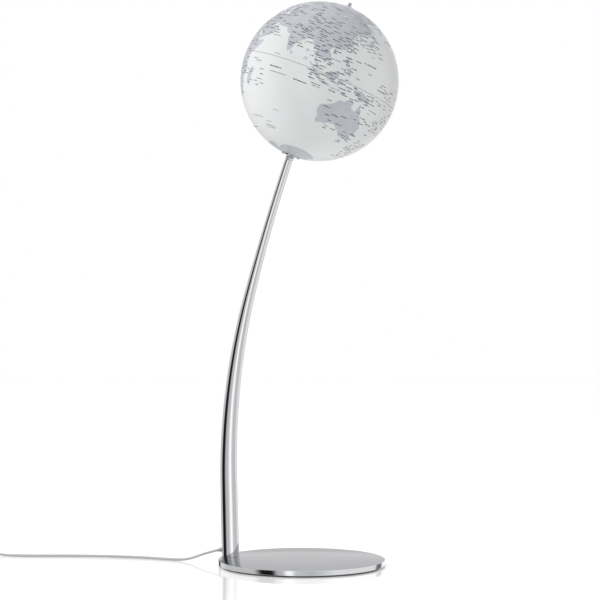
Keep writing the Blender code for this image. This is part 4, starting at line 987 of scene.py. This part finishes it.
def make_world():
    """A soft white studio: plain white behind the object, and panels that only light and mirrors see."""
    world = bpy.data.worlds.new("studio")
    world.use_nodes = True
    bpy.context.scene.world = world
    tree = world.node_tree
    background = tree.nodes["Background"]
    place = add(tree, "TexCoord").outputs["Generated"]
    split = add(tree, "SeparateXYZ", {"Vector": place})
    back = add(tree, "Math", {0: split.outputs["Y"], 1: -1.0}, operation="MULTIPLY").outputs["Value"]
    angle = add(tree, "Math", {0: split.outputs["X"], 1: back}, operation="ARCTAN2").outputs["Value"]
    share = add(tree, "MapRange", {"Value": angle, "From Min": -math.pi, "From Max": math.pi})
    ramp = add(tree, "ValToRGB", {"Fac": share.outputs["Result"]})
    stops = ramp.color_ramp.elements
    while len(stops) < len(STUDIO_BANDS):
        stops.new(0.5)
    for stop, (degrees, level) in zip(stops, STUDIO_BANDS):
        stop.position = (degrees + 180) / 360
        stop.color = (level, level, level, 1)
    bands = add(tree, "VectorMath", {0: ramp.outputs["Color"], "Scale": PANEL_STRENGTH}, operation="SCALE")
    mirrored = add(tree, "LightPath").outputs["Is Glossy Ray"]
    lift = {0: mirrored, 1: -MIRRORED_DOME_LIFT, 2: split.outputs["Z"]}
    rise = add(tree, "Math", lift, operation="MULTIPLY_ADD").outputs["Value"]
    low, high = DOME_EDGE
    height = add(tree, "MapRange", {"Value": rise, "From Min": low, "From Max": high}).outputs["Result"]
    room = {"Factor": height, "A": bands.outputs["Vector"], "B": DOME}
    dome = add(tree, "Mix", room, data_type="RGBA").outputs["Result"]
    seen = add(tree, "LightPath").outputs["Is Camera Ray"]
    shown = add(tree, "Mix", {"Factor": seen, "A": dome, "B": WHITE}, data_type="RGBA")
    tree.links.new(shown.outputs["Result"], background.inputs["Color"])


def make_light(name, place, target, size, power):
    data = bpy.data.lights.new(name, "AREA")
    data.shape = "RECTANGLE"
    data.size = size
    data.size_y = size
    data.energy = power
    light = new_object(name, data)
    light.location = place
    light.rotation_mode = "QUATERNION"
    light.rotation_quaternion = (Vector(target) - Vector(place)).to_track_quat("-Z", "Y")
    light.visible_glossy = False
    light.visible_camera = False


def make_floor_wash(floor):
    """A wide overhead light that falls on the floor alone and keeps it white to the horizon."""
    data = bpy.data.lights.new("floor_wash", "SUN")
    data.energy = FLOOR_WASH
    data.angle = FLOOR_WASH_SPREAD
    wash = new_object("floor_wash", data)
    lit = bpy.data.collections.new("floor_only")
    lit.objects.link(floor)
    wash.light_linking.receiver_collection = lit
    wash.visible_glossy = False


# ---------------------------------------------------------------- all together


def main():
    scene = bpy.context.scene
    scene.view_settings.view_transform = "Standard"
    make_camera()
    chrome = make_chrome()
    ink = make_ink()
    globe_print = make_globe_print()
    steel = make_brushed_steel()
    # The plate's edge is turned and polished: bright, with hairlines round it.
    rim = make_metal("polished_steel_rim", "D8DADC", "E6E7E9", 0.07, 0.14, 0.4 * MM, (0.02, 0.02, 1))
    # Nickel plate on turned and polished steel: a softer and slightly darker mirror than chrome.
    nickel = make_metal("nickel_plated_steel", "B8BABD", "C8CACD", 0.1, 0.18, 0.4 * MM, (1, 1, 0.05))
    # Zinc plate on steel: bluish grey with a dull crystalline bloom.
    zinc = make_metal("zinc_plated_steel", "8E949A", "A4AAB0", 0.3, 0.45, 1 * MM, detail=3.0)
    # Turned brass, lightly tarnished: warm, with fine lathe lines.
    brass = make_metal("turned_brass", "B08F4C", "CBAA66", 0.2, 0.32, 0.5 * MM, (0.1, 1, 0.1))
    felt = make_felt()
    # Flexible PVC sheath: smooth and slightly waxy.
    sheath = make_moulded("grey_pvc_sheath", "A6A7A9", "B2B3B5", 0.32, 0.42, 1.5 * MM)
    # Moulded ABS: a low, even sheen, and a smoother, darker rocker.
    housing = make_moulded("grey_abs_housing", "A9AAAC", "B3B4B6", 0.34, 0.46, 0.6 * MM)
    rocker = make_moulded("dark_grey_abs_rocker", "6C6D70", "76777A", 0.25, 0.34, 0.8 * MM)
    # Inside the globe: waxy white nylon, glossier phenolic plastic and the bulb's milky dome.
    nylon = make_moulded("white_nylon", "DEDDD6", "E8E7E1", 0.4, 0.52, 1 * MM)
    holder = make_moulded("white_phenolic_holder", "DCDBD5", "E6E5E0", 0.3, 0.4, 1 * MM)
    opal = make_moulded("opal_diffuser", "EFEDE4", "F6F4EC", 0.3, 0.38, 2 * MM)
    # Moulded rubber: dull, and a little darker than the lead.
    relief = make_moulded("grey_rubber_relief", "8F9092", "9C9D9F", 0.45, 0.6, 0.8 * MM)
    make_lead(sheath)
    north = make_shell("north_printed_shell", 1, NORTH_HOLE, globe_print)
    south = make_shell("south_printed_shell", -1, SOUTH_HOLE, globe_print)
    place_piece(north, "globe", ["north_hemisphere"])
    place_piece(south, "globe", ["south_hemisphere"])
    place_piece(make_names(ink), "globe")
    place_piece(make_arm(chrome), "stand", ["bow_arm"])
    place_piece(make_plate(steel, rim), "stand", ["base_plate"])
    finishes = {
        "chrome": chrome,
        "brushed_steel": steel,
        "screw_steel": zinc,
        "brass": brass,
        "pad_felt": felt,
        "globe_print": globe_print,
        "white_nylon": nylon,
        "grey_sheath": sheath,
        "grey_plastic": housing,
        "rocker_grey": rocker,
        "holder_white": holder,
        "bulb_diffuser": opal,
    }
    # Parts whose finish differs from the rest of their slot.
    own = {"strain_relief": relief, "finial_nut": nickel, "north_washer": nickel, "lower_flange": nickel}
    for row in frame["record"]["subparts"]:
        finish_node(row["node"], own.get(row["node"], finishes[row["material_slot"]]))
    make_floor_wash(make_floor())
    make_world()
    for name, (place, target, size, power) in SOFT_BOXES.items():
        make_light(name, place, target, size, power)


main()
